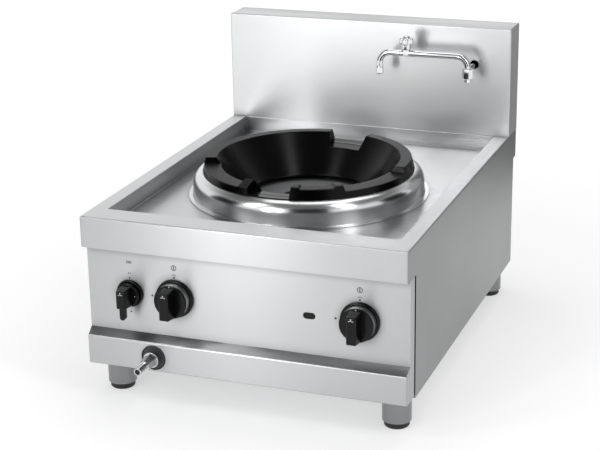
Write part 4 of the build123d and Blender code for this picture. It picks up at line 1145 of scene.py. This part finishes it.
def bend_ring(bm, edges, centre, axis, angle, steps=16):
    """Sweeps an open ring of edges round a bend and returns its last edges."""
    out = bmesh.ops.spin(
        bm, geom=edges, cent=centre, axis=axis, angle=angle, steps=steps, use_merge=False
    )
    return [g for g in out["geom_last"] if isinstance(g, bmesh.types.BMEdge)]


bm = bmesh.new()
ring = bmesh.ops.create_circle(bm, cap_ends=True, segments=48, radius=PIPE_R)["verts"]
bmesh.ops.translate(bm, vec=(SPOUT_X, SPOUT_Y, PIPE_FOOT), verts=ring)
edges = extrude_ring(bm, edges_of(ring), (0, 0, PIPE_Z - BEND - PIPE_FOOT))
edges = bend_ring(bm, edges, (SPOUT_X - BEND, SPOUT_Y, PIPE_Z - BEND), (0, 1, 0), -math.pi / 2)
edges = extrude_ring(bm, edges, (NOZZLE_X - SPOUT_X + 2 * BEND, 0, 0))
edges = bend_ring(bm, edges, (NOZZLE_X + BEND, SPOUT_Y, PIPE_Z - BEND), (0, 1, 0), -math.pi / 2)
edges = extrude_ring(bm, edges, (0, 0, NOZZLE_TOP - PIPE_Z + BEND))
bmesh.ops.holes_fill(bm, edges=edges, sides=0)
bmesh.ops.recalc_face_normals(bm, faces=bm.faces)
valve_body = [(0, 512), (8, 512), (8, 523), (0, 523)]
turned(bm, valve_body, (STOP_X, SPOUT_Y, 0), rounds={2: 1}, steps=64, closed=False)
valve_plug = [(0, 515), (2.2, 515), (2.2, 504), (0, 504)]
turned(bm, valve_plug, (STOP_X, SPOUT_Y, 0), rounds={2: 1}, steps=32, closed=False)
spout = make_piece("spout_pipe_chromed", bm, chrome)
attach(spout, "spout")
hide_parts("spout_pipe")

bm = bmesh.new()
nozzle = [
    (5.5, 470), (7, 470), (7.5, 472), (7.2, 483), (6.3, NOZZLE_TOP), (0, NOZZLE_TOP), (0, 473),
    (5.5, 473),
]
turned(bm, nozzle, (NOZZLE_X, SPOUT_Y, 0), rounds={2: 1, 3: 1}, steps=64)
nozzle_piece = make_piece("spout_nozzle_chromed", bm, chrome)
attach(nozzle_piece, "spout")
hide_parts("spout_nozzle")

STOP_Z = 523.3
LOBE_REACH = 8

bm = bmesh.new()
dome = [(0, 551.3), (6, 549.4), (9, 545.5), (10, 541.3), (10, 525), (9, STOP_Z), (0, STOP_Z)]
turned(bm, dome, (STOP_X, SPOUT_Y, 0), rounds={1: 6, 2: 6, 3: 8}, steps=64, closed=False)
for quarter in range(4):
    lobe_x = STOP_X + LOBE_REACH * math.cos(quarter * math.pi / 2)
    lobe_y = SPOUT_Y + LOBE_REACH * math.sin(quarter * math.pi / 2)
    lobe = [(0, 546.5), (6, 545.7), (6, 533.2), (0, 532)]
    turned(bm, lobe, (lobe_x, lobe_y, 0), rounds={1: 3, 2: 3}, steps=48, closed=False)
handle = make_piece("stop_valve_handle_chromed", bm, chrome)
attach(handle, "stop_valve_handle")
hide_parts("stop_valve_handle")


# ---- Room: floor, light and camera ----
# White paper that glows more the farther it lies from the range; the dimmer glow near the range is
# painted shade round it.
# Soft boxes and a strip stand in front, above and at both sides. Boards give the steel its darks.

FLOOR_HALF = 12
GLOW_SHARE = 0.31
NEAR, FAR = 0.5, 2.6
NEAR_GLOW, FAR_GLOW = 1.65, 2.6


def shown(tree):
    """1 for a ray that shows the background: straight, in gloss or through glass."""
    rays = add_node(tree, "ShaderNodeLightPath")
    seen = add_node(
        tree,
        "ShaderNodeMath",
        {0: rays.outputs["Is Camera Ray"], 1: rays.outputs["Is Glossy Ray"]},
        operation="MAXIMUM",
    )
    seen = add_node(
        tree,
        "ShaderNodeMath",
        {0: seen.outputs[0], 1: rays.outputs["Is Transmission Ray"]},
        operation="MAXIMUM",
    )
    return seen.outputs[0]


bm = bmesh.new()
bmesh.ops.create_grid(bm, x_segments=1, y_segments=1, size=FLOOR_HALF)
floor = new_object("floor", bm, unit=1)
paper, tree, output = new_material("white_paper")
share = add_node(tree, "ShaderNodeMath", {0: shown(tree), 1: GLOW_SHARE}, operation="MULTIPLY")
pale = add_node(tree, "ShaderNodeBsdfDiffuse", {"Color": linear("#f4f4f4")})
spot = add_node(tree, "ShaderNodeTexCoord")
away = add_node(tree, "ShaderNodeVectorMath", {0: spot.outputs["Object"]}, operation="LENGTH")
# Painted shade: the glow is weakest near the range and grows with the distance from it.
wash = add_node(
    tree,
    "ShaderNodeMapRange",
    {"Value": away.outputs["Value"], 1: NEAR, 2: FAR, 3: NEAR_GLOW, 4: FAR_GLOW},
)
glow = add_node(
    tree, "ShaderNodeEmission", {"Color": linear("#ffffff"), "Strength": wash.outputs[0]}
)
mix = add_node(
    tree, "ShaderNodeMixShader", {0: share.outputs[0], 1: pale.outputs[0], 2: glow.outputs[0]}
)
tree.links.new(mix.outputs[0], output.inputs[0])
floor.data.materials.append(paper)

# Air: pale to the sides and dim overhead where it shows, and a weak even light where it doesn't.
SIDE_STRENGTH, TOP_STRENGTH = 1.05, 0.15
AIR_LIGHT = 0.35

world = bpy.data.worlds.new("studio")
bpy.context.scene.world = world
world.use_nodes = True
tree = world.node_tree
tree.nodes.clear()
direction = add_node(tree, "ShaderNodeTexCoord")
height = add_node(tree, "ShaderNodeSeparateXYZ", {0: direction.outputs["Generated"]})
sweep = add_node(
    tree,
    "ShaderNodeMapRange",
    {"Value": height.outputs[2], 1: 0.35, 2: 0.75, 3: SIDE_STRENGTH, 4: TOP_STRENGTH},
    interpolation_type="SMOOTHSTEP",
)
strength = add_node(
    tree,
    "ShaderNodeMapRange",
    {"Value": shown(tree), 1: 0, 2: 1, 3: AIR_LIGHT, 4: sweep.outputs[0]},
)
air = add_node(
    tree, "ShaderNodeBackground", {"Color": linear("#ffffff"), "Strength": strength.outputs[0]}
)
add_node(tree, "ShaderNodeOutputWorld", {0: air.outputs[0]})


def soft_box(name, place, aim, size, watts):
    """Rectangular soft light at a place in metres, which points at a spot."""
    lamp = bpy.data.lights.new(name, "AREA")
    lamp.shape = "RECTANGLE"
    lamp.size, lamp.size_y = size
    lamp.energy = watts
    obj = bpy.data.objects.new(name, lamp)
    facing = (Vector(aim) - Vector(place)).to_track_quat("-Z", "Y").to_matrix().to_4x4()
    obj.matrix_world = Matrix.Translation(place) @ facing
    bpy.context.collection.objects.link(obj)


soft_box("box_front", (-0.95, -2.7, 1.1), (0, 0, 0.3), (0.3, 2.4), 16)
soft_box("box_above", (0, 0.6, 2.4), (0, 0, 0.3), (1.8, 1.4), 14)
soft_box("box_right", (1.5, -0.85, 2), (0, 0, 0.35), (0.4, 1.7), 12)
soft_box("box_left", (-1.3, -1.45, 2), (0, 0, 0.35), (0.45, 1.4), 8)
soft_box("strip_front", (-0.4, -2.8, 1.2), (0.1, 0, 0.4), (0.2, 2), 4)


def matt_board(name, colour):
    """Matt painted board without any gloss."""
    material, tree, output = new_material(name)
    paint = add_node(tree, "ShaderNodeBsdfDiffuse", {"Color": linear(colour)})
    tree.links.new(paint.outputs[0], output.inputs[0])
    return material


def standing_board(name, degrees, reach, width, height, material):
    """Board that shows only as a band in shiny metal, so many degrees round from the front."""
    bm = bmesh.new()
    bmesh.ops.create_grid(bm, x_segments=1, y_segments=1, size=0.5)
    bmesh.ops.scale(bm, vec=(width, height, 1), verts=bm.verts)
    board = new_object(name, bm, unit=1)
    side = math.radians(degrees)
    place = Matrix.Translation((reach * math.sin(side), -reach * math.cos(side), height / 2))
    upright = Matrix.Rotation(math.pi / 2, 4, "X")
    board.matrix_world = place @ Matrix.Rotation(side, 4, "Z") @ upright
    board.visible_camera = False
    board.visible_diffuse = False
    board.visible_shadow = False
    board.data.materials.append(material)


board_black = matt_board("black_board", "#0a0a0a")
board_grey = matt_board("grey_board", "#bcbcbc")
standing_board("board_front", 20, 3.1, 2.2, 3, board_black)
standing_board("board_left", -69, 3.1, 2, 2.4, board_black)
standing_board("board_right", 111, 3.1, 1.9, 2.4, board_black)
standing_board("board_rear_right", 152, 1.25, 1, 1, board_grey)

# The camera as fitted to the photograph: how far round, up and rolled, its place and its lens.
AZIMUTH = math.radians(-20.52)
ELEVATION = math.radians(19.07)
ROLL = math.radians(-0.982)
CAMERA_PLACE = (0.9908, -2.7084, 1.2360)
SENSOR = 36
FOCAL_LENGTH = 95.98

forward = Vector(
    (
        math.sin(AZIMUTH) * math.cos(ELEVATION),
        math.cos(AZIMUTH) * math.cos(ELEVATION),
        -math.sin(ELEVATION),
    )
)
level = Vector((math.cos(AZIMUTH), -math.sin(AZIMUTH), 0))
upright = level.cross(forward)
right = level * math.cos(ROLL) + upright * math.sin(ROLL)
up = upright * math.cos(ROLL) - level * math.sin(ROLL)
lens = bpy.data.cameras.new("camera")
lens.sensor_width = SENSOR
lens.lens = FOCAL_LENGTH
camera = bpy.data.objects.new("camera", lens)
facing = Matrix((right, up, -forward)).transposed().to_4x4()
camera.matrix_world = Matrix.Translation(CAMERA_PLACE) @ facing
bpy.context.collection.objects.link(camera)
bpy.context.scene.camera = camera
bpy.context.scene.view_settings.view_transform = "Standard"
